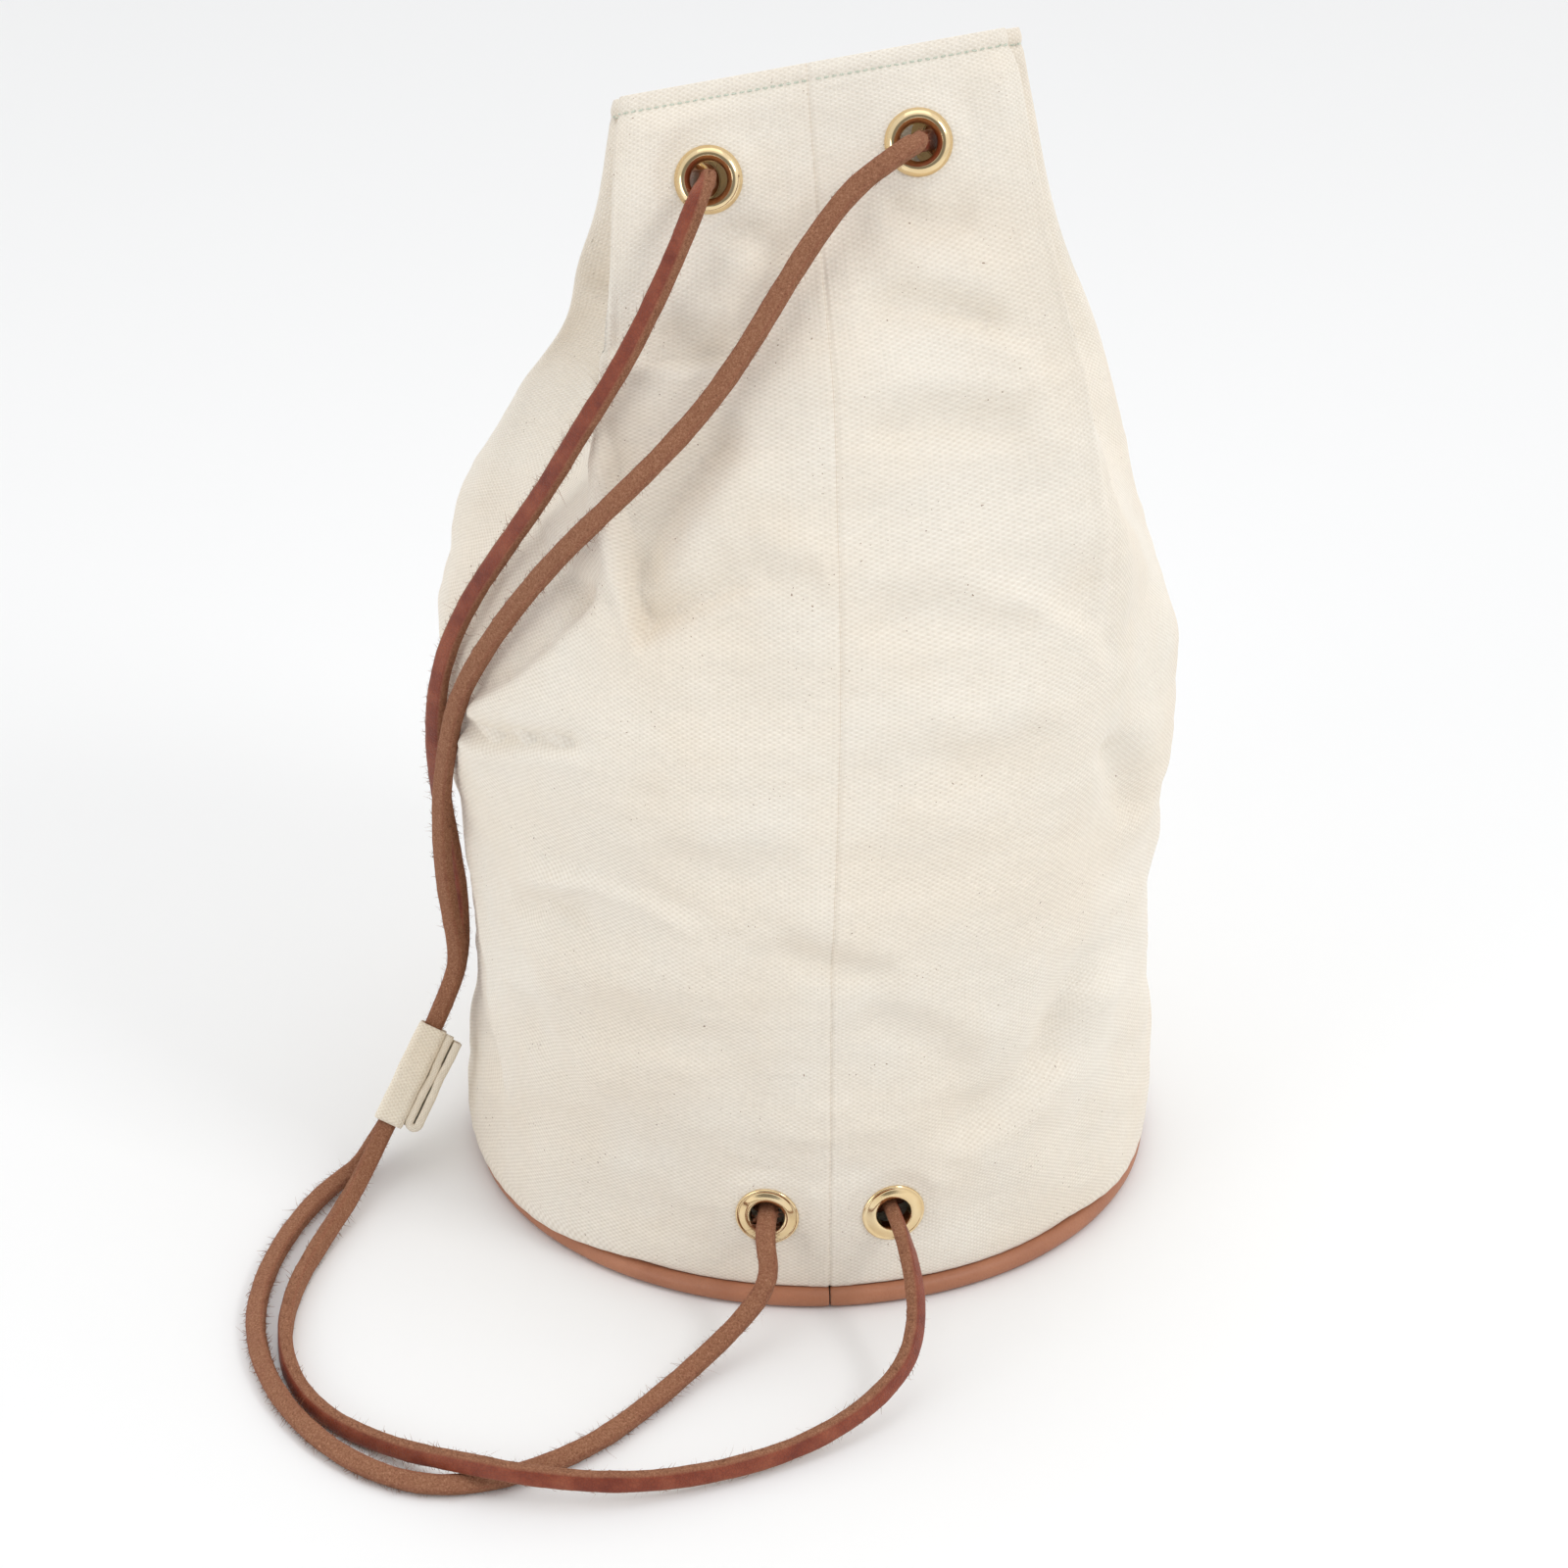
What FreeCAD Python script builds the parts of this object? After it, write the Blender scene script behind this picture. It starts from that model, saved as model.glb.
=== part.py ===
import FreeCAD, Part
import math
import os
import Sketcher

# Drawstring bucket bag in canvas, with a leather lace that closes the mouth and is the strap.
# Millimetres. Origin: centre of the base, on the surface the bag stands on.
# +Z is up and -Y is the side with the seam, the two bottom eyelets and the strap.

Vector = FreeCAD.Vector

DIMENSIONS = {
    "wall_radius": 119.0,          # canvas wall just above the base seam
    "knee_height": 60.0,           # the wall widens a little up to here
    "knee_swell": 2.0,
    "drum_height": 120.0,          # and is a round drum up to here
    "drum_swell": 2.5,
    "foot_rise": 1.4,              # the wall turns in under the top of the piping
    "foot_turn_in": 0.7,
    "canvas_thick": 1.6,
    "facing_thick": 1.2,           # turned-in hem band inside the mouth
    "facing_depth": 45.0,
    "layer_gap": 0.2,              # air between sewn layers
    "tape_width": 14.0,            # binding over the seam allowance, inside
    "tape_thick": 0.9,
    "disc_radius": 114.2,          # base canvas, inside the piping ring
    "disc_thick": 1.6,
    "disc_gap": 0.1,
    "board_radius": 112.0,
    "board_thick": 2.5,
    "lining_thick": 1.0,
    "piping_ring_radius": 118.65,
    "piping_radius": 3.5,
    "piping_bore": 2.3,
    "core_radius": 2.2,
    "piping_sweep": 359.8,         # degrees, the two ends butt at the seam
    "eyelet_hole": 5.75,           # radii and heights of a stamped brass eyelet
    "eyelet_barrel": 6.35,
    "eyelet_crown": 8.3,
    "eyelet_flange": 10.7,
    "eyelet_edge": 0.7,
    "eyelet_dome": 2.2,
    "eyelet_roll": 8.0,
    "eyelet_roll_thick": 0.6,
    "washer_radius": 10.2,
    "washer_thick": 0.6,
    "bore_gap": 0.15,              # between a barrel and the cloth round it
    "bore_reach": 14.0,
    "eyelet_depth": 27.5,          # eyelet centres below the mouth edge
    "bottom_eyelet_height": 36.6,
    "bottom_eyelet_pitch": 42.0,
    "lace_radius": 3.3,
    "knot_radius": 9.0,
    "knot_bite": 0.8,              # how far the lace's end runs into its knot
    "strand_half_pitch": 3.7,      # from the slider's axis to each strand's centre
    "slider_length": 38.0,
    "slider_width": 10.8,
    "slider_depth": 18.2,
    "slider_wall": 1.5,
    "slider_fold_width": 5.8,
    "slider_fold_depth": 5.2,
    "slider_slit": 0.8,
}

doc = FreeCAD.newDocument("bucket_bag")
sheet = doc.addObject("Spreadsheet::Sheet", "Sizes")
for row, (alias, number) in enumerate(DIMENSIONS.items(), start=1):
    sheet.set("A%d" % row, alias)
    sheet.set("B%d" % row, str(number))
    sheet.setAlias("B%d" % row, alias)
doc.recompute()


def size(alias):
    return float(sheet.get(alias))


def sized(alias):
    """The name of a cell, as an expression reads it."""
    return "Sizes." + alias


parts = []


def keep(piece, label):
    """Count a finished object as a sub-part, under the name its file gets."""
    piece.Label = label
    parts.append(piece)
    return piece


def keep_shape(shape, label, placement=None):
    piece = doc.addObject("Part::Feature", label)
    piece.Shape = shape
    if placement is not None:
        piece.Placement = placement
    return keep(piece, label)


# ---------------------------------------------------------------- canvas wall
# The wall is a stack of closed outlines. Each has twelve named points, clockwise seen from
# above: the seam, the front left crease, then valleys and ridges alternately round to the front
# right crease. An outline turns round each point in a parabola and runs straight between them.

POINTS = 12
SEAM, FRONT_LEFT, VALLEY_1, SIDE_LEFT, VALLEY_2, BACK_LEFT = range(6)
BACK, BACK_RIGHT, VALLEY_3, SIDE_RIGHT, VALLEY_4, FRONT_RIGHT = range(6, 12)


class Outline:
    """Twelve points in a plane that rises by slope_x and slope_y from its height at the seam."""

    def __init__(self, height, points, turn, slope_x=0.0, slope_y=0.0):
        self.height = height
        self.points = points
        self.turn = turn               # share of each side that the rounding takes, at each end
        self.slope_x = slope_x
        self.slope_y = slope_y

    def lift(self, spot):
        seam_x, seam_y = self.points[SEAM]
        rise = self.slope_x * (spot[0] - seam_x) + self.slope_y * (spot[1] - seam_y)
        return Vector(spot[0], spot[1], self.height + rise)

    def corners(self, inset=0.0):
        """Control points whose roundings pass through the named points, moved in by inset."""
        rounds = 24
        found = list(self.points)
        for _ in range(rounds):
            found = [
                tuple(
                    (self.points[i][k] - 0.25 * self.turn * (found[i - 1][k] + found[(i + 1) % POINTS][k]))
                    / (1.0 - 0.5 * self.turn)
                    for k in (0, 1)
                )
                for i in range(POINTS)
            ]
        if inset == 0.0:
            return found
        return [inset_corner(found[i - 1], found[i], found[(i + 1) % POINTS], inset) for i in range(POINTS)]

    def wire(self, inset=0.0):
        spots = [self.lift(spot) for spot in self.corners(inset)]
        edges = []
        for i, here in enumerate(spots):
            before = spots[i - 1]
            after = spots[(i + 1) % POINTS]
            bend = Part.BezierCurve()
            bend.setPoles([here + (before - here) * self.turn, here, here + (after - here) * self.turn])
            edges.append(bend.toShape())
            edges.append(Part.LineSegment(here + (after - here) * self.turn,
                                          after + (here - after) * self.turn).toShape())
        return Part.Wire(edges)


def inset_corner(before, here, after, inset):
    """Where the two sides at a corner meet once both have moved inwards."""
    into = Vector(here[0] - before[0], here[1] - before[1], 0).normalize()
    out_of = Vector(after[0] - here[0], after[1] - here[1], 0).normalize()
    inward_1 = Vector(into.y, -into.x, 0)
    inward_2 = Vector(out_of.y, -out_of.x, 0)
    middle = inward_1 + inward_2
    step = middle * (2.0 * inset / middle.dot(middle))
    return (here[0] + step.x, here[1] + step.y)


def round_outline(height, radius):
    angles = [math.radians(-90.0 - 360.0 / POINTS * i) for i in range(POINTS)]
    points = [(radius * math.cos(angle), radius * math.sin(angle)) for angle in angles]
    return Outline(height, points, turn=0.49)


def between(low, high, share):
    """The outline a straight wall has at a share of the way from low up to high."""
    def mix(a, b):
        return a + (b - a) * share
    points = [(mix(a[0], b[0]), mix(a[1], b[1])) for a, b in zip(low.points, high.points)]
    return Outline(mix(low.height, high.height), points, mix(low.turn, high.turn),
                   mix(low.slope_x, high.slope_x), mix(low.slope_y, high.slope_y))


def stack(outlines, inset=0.0):
    return Part.makeLoft([outline.wire(inset) for outline in outlines], True, True)


wall_radius = size("wall_radius")
disc_thick = size("disc_thick")
disc_radius = size("disc_radius")
piping_top = 2.0 * size("piping_radius")
wall_foot = piping_top + 0.6
knee_height = size("knee_height")
knee_swell = size("knee_swell")
gap = size("layer_gap")

# The gathered mouth: a flat front, a flat back and two gusset folds on each side. It leans back,
# and its left side has slumped.
MOUTH = [
    (-4, -33), (-62, -31), (-14, -5), (-64, 13), (-14, 25), (-56, 50),
    (0, 50), (56, 50), (14, 25), (67, 13), (14, -5), (57.4, -31),
]
mouth = Outline(404.0, MOUTH, turn=0.24, slope_x=0.168, slope_y=-0.30)
BAND_WIDER_X = 1.12
BAND_WIDER_Y = 1.31
BAND_SHIFT_X = 4.0
BAND_SHIFT_Y = -9.8
BAND = [(BAND_WIDER_X * x + BAND_SHIFT_X, BAND_WIDER_Y * y + BAND_SHIFT_Y) for x, y in MOUTH]
BAND[SIDE_LEFT] = (-73.5, 7.2)         # the left gusset already spreads here
band = Outline(351.0, BAND, turn=0.24, slope_x=0.168, slope_y=-0.30)
shoulder = Outline(
    300.0,
    [(3, -76), (-71, -58), (-56, -24), (-95, 12), (-58, 42), (-66, 76),
     (0, 76), (68, 74), (62, 38), (97, 4), (64, -26), (83, -59)],
    turn=0.30, slope_x=0.08, slope_y=-0.12,
)
waist = Outline(
    242.0,
    [(4, -95), (-67, -81), (-99, -42), (-120, 11), (-104, 58), (-66, 100),
     (0, 108), (66, 100), (102, 56), (113, 0), (105, -42), (90, -72)],
    turn=0.42,
)
belly = Outline(
    190.0,
    [(3, -108), (-68, -100), (-112, -52), (-126, 11), (-106, 66), (-62, 107),
     (0, 119), (62, 106), (106, 62), (124, -1), (112, -52), (80, -92)],
    turn=0.48,
)
WALL = [
    round_outline(disc_thick + size("disc_gap"), disc_radius),
    round_outline(size("piping_radius"), disc_radius),
    round_outline(piping_top - size("foot_rise"), disc_radius + size("foot_turn_in")),
    round_outline(wall_foot, wall_radius),
    round_outline(knee_height, wall_radius + knee_swell),
    round_outline(size("drum_height"), wall_radius + size("drum_swell")),
    belly, waist, shoulder, band, mouth,
]


def above(outline_low, outline_top):
    return between(outline_low, outline_top, 1.04)


def wall_cavity(inset):
    """Everything inside the wall's inner face, past both of its ends."""
    below = round_outline(-1.0, disc_radius)
    return stack([below] + WALL[:-1] + [above(band, mouth)], inset)


# ------------------------------------------------------------------- eyelets

def eyelet_seats():
    """Centre and outward direction of each mouth eyelet, one in the middle of each side."""
    share = 1.0 - size("eyelet_depth") / (mouth.height - band.height)
    row = between(band, mouth, share)
    low = [band.lift(spot) for spot in band.corners()]
    high = [mouth.lift(spot) for spot in mouth.corners()]
    spots = [row.lift(spot) for spot in row.corners()]
    along_side = {SEAM: 0.47, FRONT_RIGHT: 0.56}
    seats = []
    for i in range(POINTS):
        j = (i + 1) % POINTS
        centre = spots[i] + (spots[j] - spots[i]) * along_side.get(i, 0.5)
        up = (high[i] + high[j] - low[i] - low[j]).normalize()
        along = (spots[j] - spots[i]).normalize()
        seats.append((centre, up.cross(along).normalize()))
    return seats


def bottom_seat(side):
    half_angle = 0.5 * size("bottom_eyelet_pitch") / wall_radius
    out = Vector(side * math.sin(half_angle), -math.cos(half_angle), 0)
    height = size("bottom_eyelet_height")
    share = (height - wall_foot) / (knee_height - wall_foot)
    radius = wall_radius + knee_swell * share
    return Vector(out.x * radius, out.y * radius, height), out


def facing_out(centre, out):
    """The placement whose +Z points along out."""
    return FreeCAD.Placement(centre, FreeCAD.Rotation(Vector(0, 0, 1), out))


def bore(centre, out):
    reach = size("bore_reach")
    radius = size("eyelet_barrel") + size("bore_gap")
    return Part.makeCylinder(radius, 2 * reach, centre - out * reach, out)


def turned_body(label, profile, placement):
    """A ring turned about its Z axis. The profile is radius and height, as expressions."""
    body = doc.addObject("PartDesign::Body", label)
    flat = next(f for f in body.Origin.OriginFeatures if f.Role == "XZ_Plane")
    sketch = body.newObject("Sketcher::SketchObject", label + "_profile")
    sketch.AttachmentSupport = [(flat, "")]
    sketch.MapMode = "FlatFace"
    count = len(profile)
    start = [(10.0 + 5.0 * math.cos(6.3 * k / count), 5.0 * math.sin(6.3 * k / count)) for k in range(count)]
    for k in range(count):
        x1, y1 = start[k]
        x2, y2 = start[(k + 1) % count]
        sketch.addGeometry(Part.LineSegment(Vector(x1, y1, 0), Vector(x2, y2, 0)), False)
    for k in range(count):
        sketch.addConstraint(Sketcher.Constraint("Coincident", k, 2, (k + 1) % count, 1))
    for k, (radius, height) in enumerate(profile):
        across = sketch.addConstraint(Sketcher.Constraint("DistanceX", -1, 1, k, 1, start[k][0]))
        sketch.setExpression("Constraints[%d]" % across, radius)
        along = sketch.addConstraint(Sketcher.Constraint("DistanceY", -1, 1, k, 1, start[k][1]))
        sketch.setExpression("Constraints[%d]" % along, height)
    turn = body.newObject("PartDesign::Revolution", label + "_turn")
    turn.Profile = sketch
    turn.ReferenceAxis = (sketch, ["V_Axis"])
    turn.Angle = 360.0
    body.Placement = placement
    return keep(body, label)


def ring_profile(inner, outer, low, high):
    return [(inner, low), (outer, low), (outer, high), (inner, high)]


SEAT = "0.1 mm"                        # paint-thin air between a flange and the cloth
MOUTH_CLOTH = "(Sizes.canvas_thick + Sizes.layer_gap + Sizes.facing_thick) * 1 mm"
WALL_CLOTH = "(Sizes.canvas_thick + 0.5) * 1 mm"


def cell(alias):
    return sized(alias) + " * 1 mm"


def eyelet_profile(cloth):
    washer_face = "-(%s + %s + 2 * %s)" % (cloth, cell("washer_thick"), SEAT)
    inner_end = "%s - %s" % (washer_face, cell("eyelet_roll_thick"))
    return [
        (cell("eyelet_hole"), inner_end),
        (cell("eyelet_roll"), inner_end),
        (cell("eyelet_roll"), washer_face),
        (cell("eyelet_barrel"), washer_face),
        (cell("eyelet_barrel"), SEAT),
        (cell("eyelet_flange"), SEAT),
        (cell("eyelet_flange"), cell("eyelet_edge")),
        (cell("eyelet_crown"), cell("eyelet_dome")),
        (cell("eyelet_hole"), "0.6 * " + cell("eyelet_dome")),
    ]


def washer_profile(cloth):
    high = "-(%s + %s)" % (cloth, SEAT)
    return ring_profile("%s + %s" % (cell("eyelet_barrel"), SEAT), cell("washer_radius"),
                        "%s - %s" % (high, cell("washer_thick")), high)


def add_eyelet(name, seat, cloth):
    where = facing_out(*seat)
    turned_body(name + "_eyelet", eyelet_profile(cloth), where)
    turned_body(name + "_washer", washer_profile(cloth), where)


mouth_seats = eyelet_seats()
bottom_seats = {"left": bottom_seat(-1), "right": bottom_seat(1)}
all_seats = mouth_seats + list(bottom_seats.values())
bores = [bore(*seat) for seat in all_seats]

# -------------------------------------------------------------- sewn layers
canvas_thick = size("canvas_thick")
canvas = stack(WALL).cut(wall_cavity(canvas_thick)).cut(bores)
keep_shape(canvas, "canvas_body")

facing_low = between(band, mouth, 1.0 - size("facing_depth") / (mouth.height - band.height))
facing_outer = stack([facing_low, between(band, mouth, 0.995)], canvas_thick + gap)
facing_inner = stack([between(band, mouth, 0.10), above(band, mouth)],
                     canvas_thick + gap + size("facing_thick"))
keep_shape(facing_outer.cut(facing_inner).cut(bores[:POINTS]), "mouth_facing")


def seam_tape():
    """A flat tape just inside the wall behind the seam, from the base up to the facing."""
    half = 0.5 * size("tape_width")
    near = canvas_thick + gap + 0.3
    far = near + size("tape_thick")
    sections = []
    for outline in WALL[3:-1]:
        seam_x, seam_y = outline.points[SEAM]
        spots = [(seam_x - half, seam_y + near), (seam_x + half, seam_y + near),
                 (seam_x + half, seam_y + far), (seam_x - half, seam_y + far)]
        sections.append(Part.makePolygon([outline.lift(spot) for spot in spots + spots[:1]]))
    return Part.makeLoft(sections, True, True)


keep_shape(seam_tape(), "seam_binding")


def disc(label, radius, thick, height):
    piece = doc.addObject("Part::Cylinder", label)
    piece.setExpression("Radius", sized(radius))
    piece.setExpression("Height", sized(thick))
    piece.Placement = FreeCAD.Placement(Vector(0, 0, height), FreeCAD.Rotation())
    return keep(piece, label)


board_low = disc_thick + 0.2
lining_low = board_low + size("board_thick") + 0.1
disc("base_canvas", "disc_radius", "disc_thick", 0.0)
disc("base_board", "board_radius", "board_thick", board_low)
disc("base_lining", "board_radius", "lining_thick", lining_low)


def ring(label, tube_radius):
    """A ring of piping whose ends butt at the seam."""
    piece = doc.addObject("Part::Torus", label)
    piece.setExpression("Radius1", sized("piping_ring_radius"))
    piece.setExpression("Radius2", sized(tube_radius))
    piece.setExpression("Angle3", sized("piping_sweep"))
    joint_angle = -90.0 + 0.5 * (360.0 - size("piping_sweep"))
    piece.Placement = FreeCAD.Placement(Vector(0, 0, size("piping_radius")),
                                        FreeCAD.Rotation(Vector(0, 0, 1), joint_angle))
    return piece


piping = doc.addObject("Part::Cut", "piping")
piping.Base = ring("piping_outside", "piping_radius")
piping.Tool = ring("piping_inside", "piping_bore")
keep(piping, "piping")
keep(ring("piping_core", "core_radius"), "piping_core")

for number, seat in enumerate(mouth_seats, start=1):
    add_eyelet("mouth_%02d" % number, seat, MOUTH_CLOTH)
for side, seat in bottom_seats.items():
    add_eyelet("bottom_%s" % side, seat, WALL_CLOTH)

# --------------------------------------------------------------------- lace
# One leather lace. Its middle threads the twelve mouth eyelets, and each half leaves the front of
# the mouth, runs down through the slider, lies on the ground in a loop and ends in a knot inside
# a bottom eyelet. The three stretches are separate pieces that meet face to face.


def cord_path(points):
    """Straight runs joined by tangent arcs, each as large as the shorter run beside it allows."""
    edges = []
    radii = []
    start = points[0]
    for before, here, after in zip(points, points[1:], points[2:]):
        back = (before - here)
        on = (after - here)
        reach = 0.45 * min(back.Length, on.Length)
        half_turn = 0.5 * (math.pi - back.getAngle(on))
        radii.append(reach / math.tan(half_turn))
        enter = here + back.normalize() * reach
        leave = here + on.normalize() * reach
        bisector = (back + on).normalize()
        to_centre = radii[-1] / math.cos(half_turn)
        middle = here + bisector * (to_centre - radii[-1])
        edges.append(Part.LineSegment(start, enter).toShape())
        edges.append(Part.Arc(enter, middle, leave).toShape())
        start = leave
    edges.append(Part.LineSegment(start, points[-1]).toShape())
    return Part.Wire(edges), radii


def cord(label, points):
    radius = size("lace_radius")
    path, radii = cord_path(points)
    ring_edge = Part.makeCircle(radius, points[0], points[1] - points[0])
    tube = path.makePipeShell([Part.Wire([ring_edge])], True, True)
    expected = math.pi * radius ** 2 * path.Length
    print("%s: length %.0f, volume ratio %.4f, tightest radius %.1f, %d points"
          % (label, path.Length, tube.Volume / expected, min(radii), len(points)))
    print("   radii " + " ".join("%.0f" % r for r in radii))
    keep_shape(tube, label)


def out_of(seat, distance):
    centre, out = seat
    return centre + out * distance


def spots(*triples):
    return [Vector(*triple) for triple in triples]


left_hole = mouth_seats[0]
right_hole = mouth_seats[-1]
bottom_left = bottom_seats["left"]
bottom_right = bottom_seats["right"]

# The straight stretch that the slider sits on: its ends on the slider's axis, and the step from
# that axis to the rear strand.
STRAIGHT_TOP = Vector(-128.5, -0.2, 60.1)
STRAIGHT_END = Vector(-160.0, -31.2, 5.9)
strand_step = Vector(-0.037, 0.877, -0.480) * size("strand_half_pitch")
knot_reach = canvas_thick + 3.6

mouth_route = (
    [seat[0] for seat in mouth_seats[:6]]
    + [out_of(mouth_seats[5], 7.0)]
    + spots((-24, 70, 341), (0, 71, 346), (26, 70, 350))
    + [out_of(mouth_seats[6], 7.0)]
    + [seat[0] for seat in mouth_seats[6:]]
)
left_route = (
    [left_hole[0], out_of(left_hole, 9.0)]
    + spots(
        (-39, -61, 370), (-45, -64.5, 356), (-54, -67, 337), (-64, -68, 318),
        (-76, -65, 298), (-88, -55, 274), (-102, -45, 250), (-115, -35, 227),
        (-125, -28, 203), (-129.5, -21, 178), (-130, -13, 153), (-128.3, -3, 129),
        (-126.4, 4, 107), (-125.4, 7.5, 91), (-125.6, 7, 73),
    )
    + [STRAIGHT_TOP + strand_step, STRAIGHT_END + strand_step]
    + spots(
        (-174, -44, 3.6), (-185, -68, 3.5), (-192, -95, 3.5), (-194, -122, 3.5),
        (-189, -149, 3.5), (-177, -176, 3.5), (-157, -201, 3.5), (-131, -215.5, 3.5),
        (-103, -210, 3.5), (-80, -196, 3.5), (-64, -176, 3.5), (-50, -158, 5.5),
        (-37, -147, 14), (-27.5, -139, 26),
    )
    + [out_of(bottom_left, 11.0), out_of(bottom_left, -knot_reach)]
)
right_route = (
    [right_hole[0], out_of(right_hole, 10.5)]
    + spots(
        (23, -58, 383), (9, -59, 373), (-3, -62, 358), (-14, -67, 342),
        (-25, -72, 325), (-37, -76, 309), (-52, -79, 293), (-68, -79, 277),
        (-83, -71, 259), (-97, -62, 239), (-109.5, -53, 218), (-120, -45, 196),
        (-125, -35, 172), (-128.5, -26, 147), (-129.3, -17, 118), (-128, -10.5, 96),
        (-126.2, -4.5, 77),
    )
    + [STRAIGHT_TOP - strand_step, STRAIGHT_END - strand_step + Vector(1.4, 1.3, 2.3)]
    + spots(
        (-165.5, -56, 6.5), (-174.5, -79, 3.8), (-181.5, -104, 3.5), (-183.5, -131, 3.5),
        (-178.5, -157, 3.5), (-165, -179, 3.5), (-143, -196, 4.5), (-121.5, -212, 10.9),
        (-98, -220.5, 10.9), (-70, -221, 7.5), (-42, -214, 5), (-15, -203, 5),
        (7, -189.5, 9), (21.5, -175, 15.5), (26, -161, 23), (25.8, -148, 30.5),
    )
    + [out_of(bottom_right, 12.0), out_of(bottom_right, -knot_reach)]
)
cord("mouth_lace", mouth_route)
cord("strap_left", left_route)
cord("strap_right", right_route)

for side, seat in bottom_seats.items():
    knot = doc.addObject("Part::Sphere", "knot_%s" % side)
    knot.setExpression("Radius", sized("knot_radius"))
    knot.Placement = FreeCAD.Placement(
        out_of(seat, -(knot_reach + size("knot_radius") - size("knot_bite"))), FreeCAD.Rotation())
    keep(knot, "knot_%s" % side)


# ------------------------------------------------------------------- slider

def slider_block(name, width, depth, length, low_x):
    """A plain block along the slider's Z axis, centred across its depth."""
    block = doc.addObject("Part::Box", name)
    block.setExpression("Length", width)
    block.setExpression("Width", depth)
    block.setExpression("Height", length)
    block.setExpression("Placement.Base.x", low_x)
    block.setExpression("Placement.Base.y", "-(%s) / 2" % depth)
    block.setExpression("Placement.Base.z", "-(%s) / 2" % length)
    return block


def joined(kind, name, base, tool):
    result = doc.addObject(kind, name)
    result.Base = base
    result.Tool = tool
    return result


inner_width = "(%s) - 2 * (%s)" % (cell("slider_width"), cell("slider_wall"))
inner_depth = "(%s) - 2 * (%s)" % (cell("slider_depth"), cell("slider_wall"))
sleeve = slider_block("sleeve", cell("slider_width"), cell("slider_depth"), cell("slider_length"),
                      "-(%s) / 2" % cell("slider_width"))
fold = slider_block("folded_edge", cell("slider_fold_width"), cell("slider_fold_depth"),
                    cell("slider_length"), "(%s) / 2 - 0.01 mm" % cell("slider_width"))
slit = slider_block("fold_slit", cell("slider_fold_width"), cell("slider_slit"),
                    "(%s) * 0.85" % cell("slider_length"), "(%s) / 2 + 2 mm" % cell("slider_width"))
channel = slider_block("channel", inner_width, inner_depth, "(%s) + 2 mm" % cell("slider_length"),
                       "-(%s) / 2" % inner_width)
folded = joined("Part::Cut", "slit_fold", fold, slit)
outside = joined("Part::Fuse", "slider_outside", sleeve, folded)
slider = joined("Part::Cut", "slider", outside, channel)
slider_axis = (STRAIGHT_TOP - STRAIGHT_END).normalize()
slider_side = strand_step.cross(slider_axis).normalize()
SLIDER_UP = 34.5                       # slider's centre, measured along the stretch from its end
slider_rotation = FreeCAD.Rotation(slider_side, strand_step, slider_axis, "ZXY")
slider.Placement = FreeCAD.Placement(STRAIGHT_END + slider_axis * SLIDER_UP, slider_rotation)
keep(slider, "slider")
print("slider axis", slider_axis, "centre", slider.Placement.Base)

# ------------------------------------------------------------------- checks
doc.recompute()
for item in doc.Objects:
    if "Invalid" in item.State or "Error" in item.State:
        raise SystemExit("%s failed: %s" % (item.Name, item.State))
for piece in parts:
    if piece.Shape.isNull() or not piece.Shape.isValid() or not piece.Shape.Solids:
        raise SystemExit("%s has no valid solid" % piece.Label)

os.makedirs("parts", exist_ok=True)
for piece in parts:
    piece.Shape.exportStep("parts/%s.step" % piece.Label)
    print("%-22s %10.0f mm3" % (piece.Label, piece.Shape.Volume))
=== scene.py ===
import bpy
import math
import numpy as np
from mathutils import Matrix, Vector


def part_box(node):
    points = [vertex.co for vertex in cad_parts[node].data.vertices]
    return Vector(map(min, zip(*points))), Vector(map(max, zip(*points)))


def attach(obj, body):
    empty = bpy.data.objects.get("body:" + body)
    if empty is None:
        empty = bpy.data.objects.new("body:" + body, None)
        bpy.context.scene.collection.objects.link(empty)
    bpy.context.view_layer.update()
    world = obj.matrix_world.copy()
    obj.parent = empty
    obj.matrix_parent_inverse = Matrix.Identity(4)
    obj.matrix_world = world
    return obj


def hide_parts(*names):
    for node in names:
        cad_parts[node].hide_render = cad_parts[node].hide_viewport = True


# Drawstring bucket bag in canvas with leather laces. Lengths are in millimetres, and MM turns
# them into Blender's metres. The numbers inside a material are in metres.

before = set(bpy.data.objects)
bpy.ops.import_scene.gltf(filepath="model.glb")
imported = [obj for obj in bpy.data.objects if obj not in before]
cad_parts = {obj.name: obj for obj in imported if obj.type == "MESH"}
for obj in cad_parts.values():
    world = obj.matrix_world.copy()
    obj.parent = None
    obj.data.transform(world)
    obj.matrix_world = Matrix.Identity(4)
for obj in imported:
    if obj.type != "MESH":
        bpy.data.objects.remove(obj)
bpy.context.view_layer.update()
MM = 0.001
TAU = 2.0 * math.pi

# ------------------------------------------------------------------- camera

camera_data = bpy.data.cameras.new("camera")
camera_data.lens = 80.0
camera_data.sensor_width = 36.0
camera = bpy.data.objects.new("camera", camera_data)
camera.location = (-0.06465, -1.08993, 0.6948)
camera.rotation_euler = (math.radians(62.97), 0.0, math.radians(-2.9))
bpy.context.scene.collection.objects.link(camera)
bpy.context.scene.camera = camera


# ------------------------------------------------------------ mesh utilities

def smoothstep(low, high, x):
    t = np.clip((x - low) / (high - low), 0.0, 1.0)
    return t * t * (3.0 - 2.0 * t)


def bell(x, width):
    return np.exp(-((x / width) ** 2))


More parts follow.
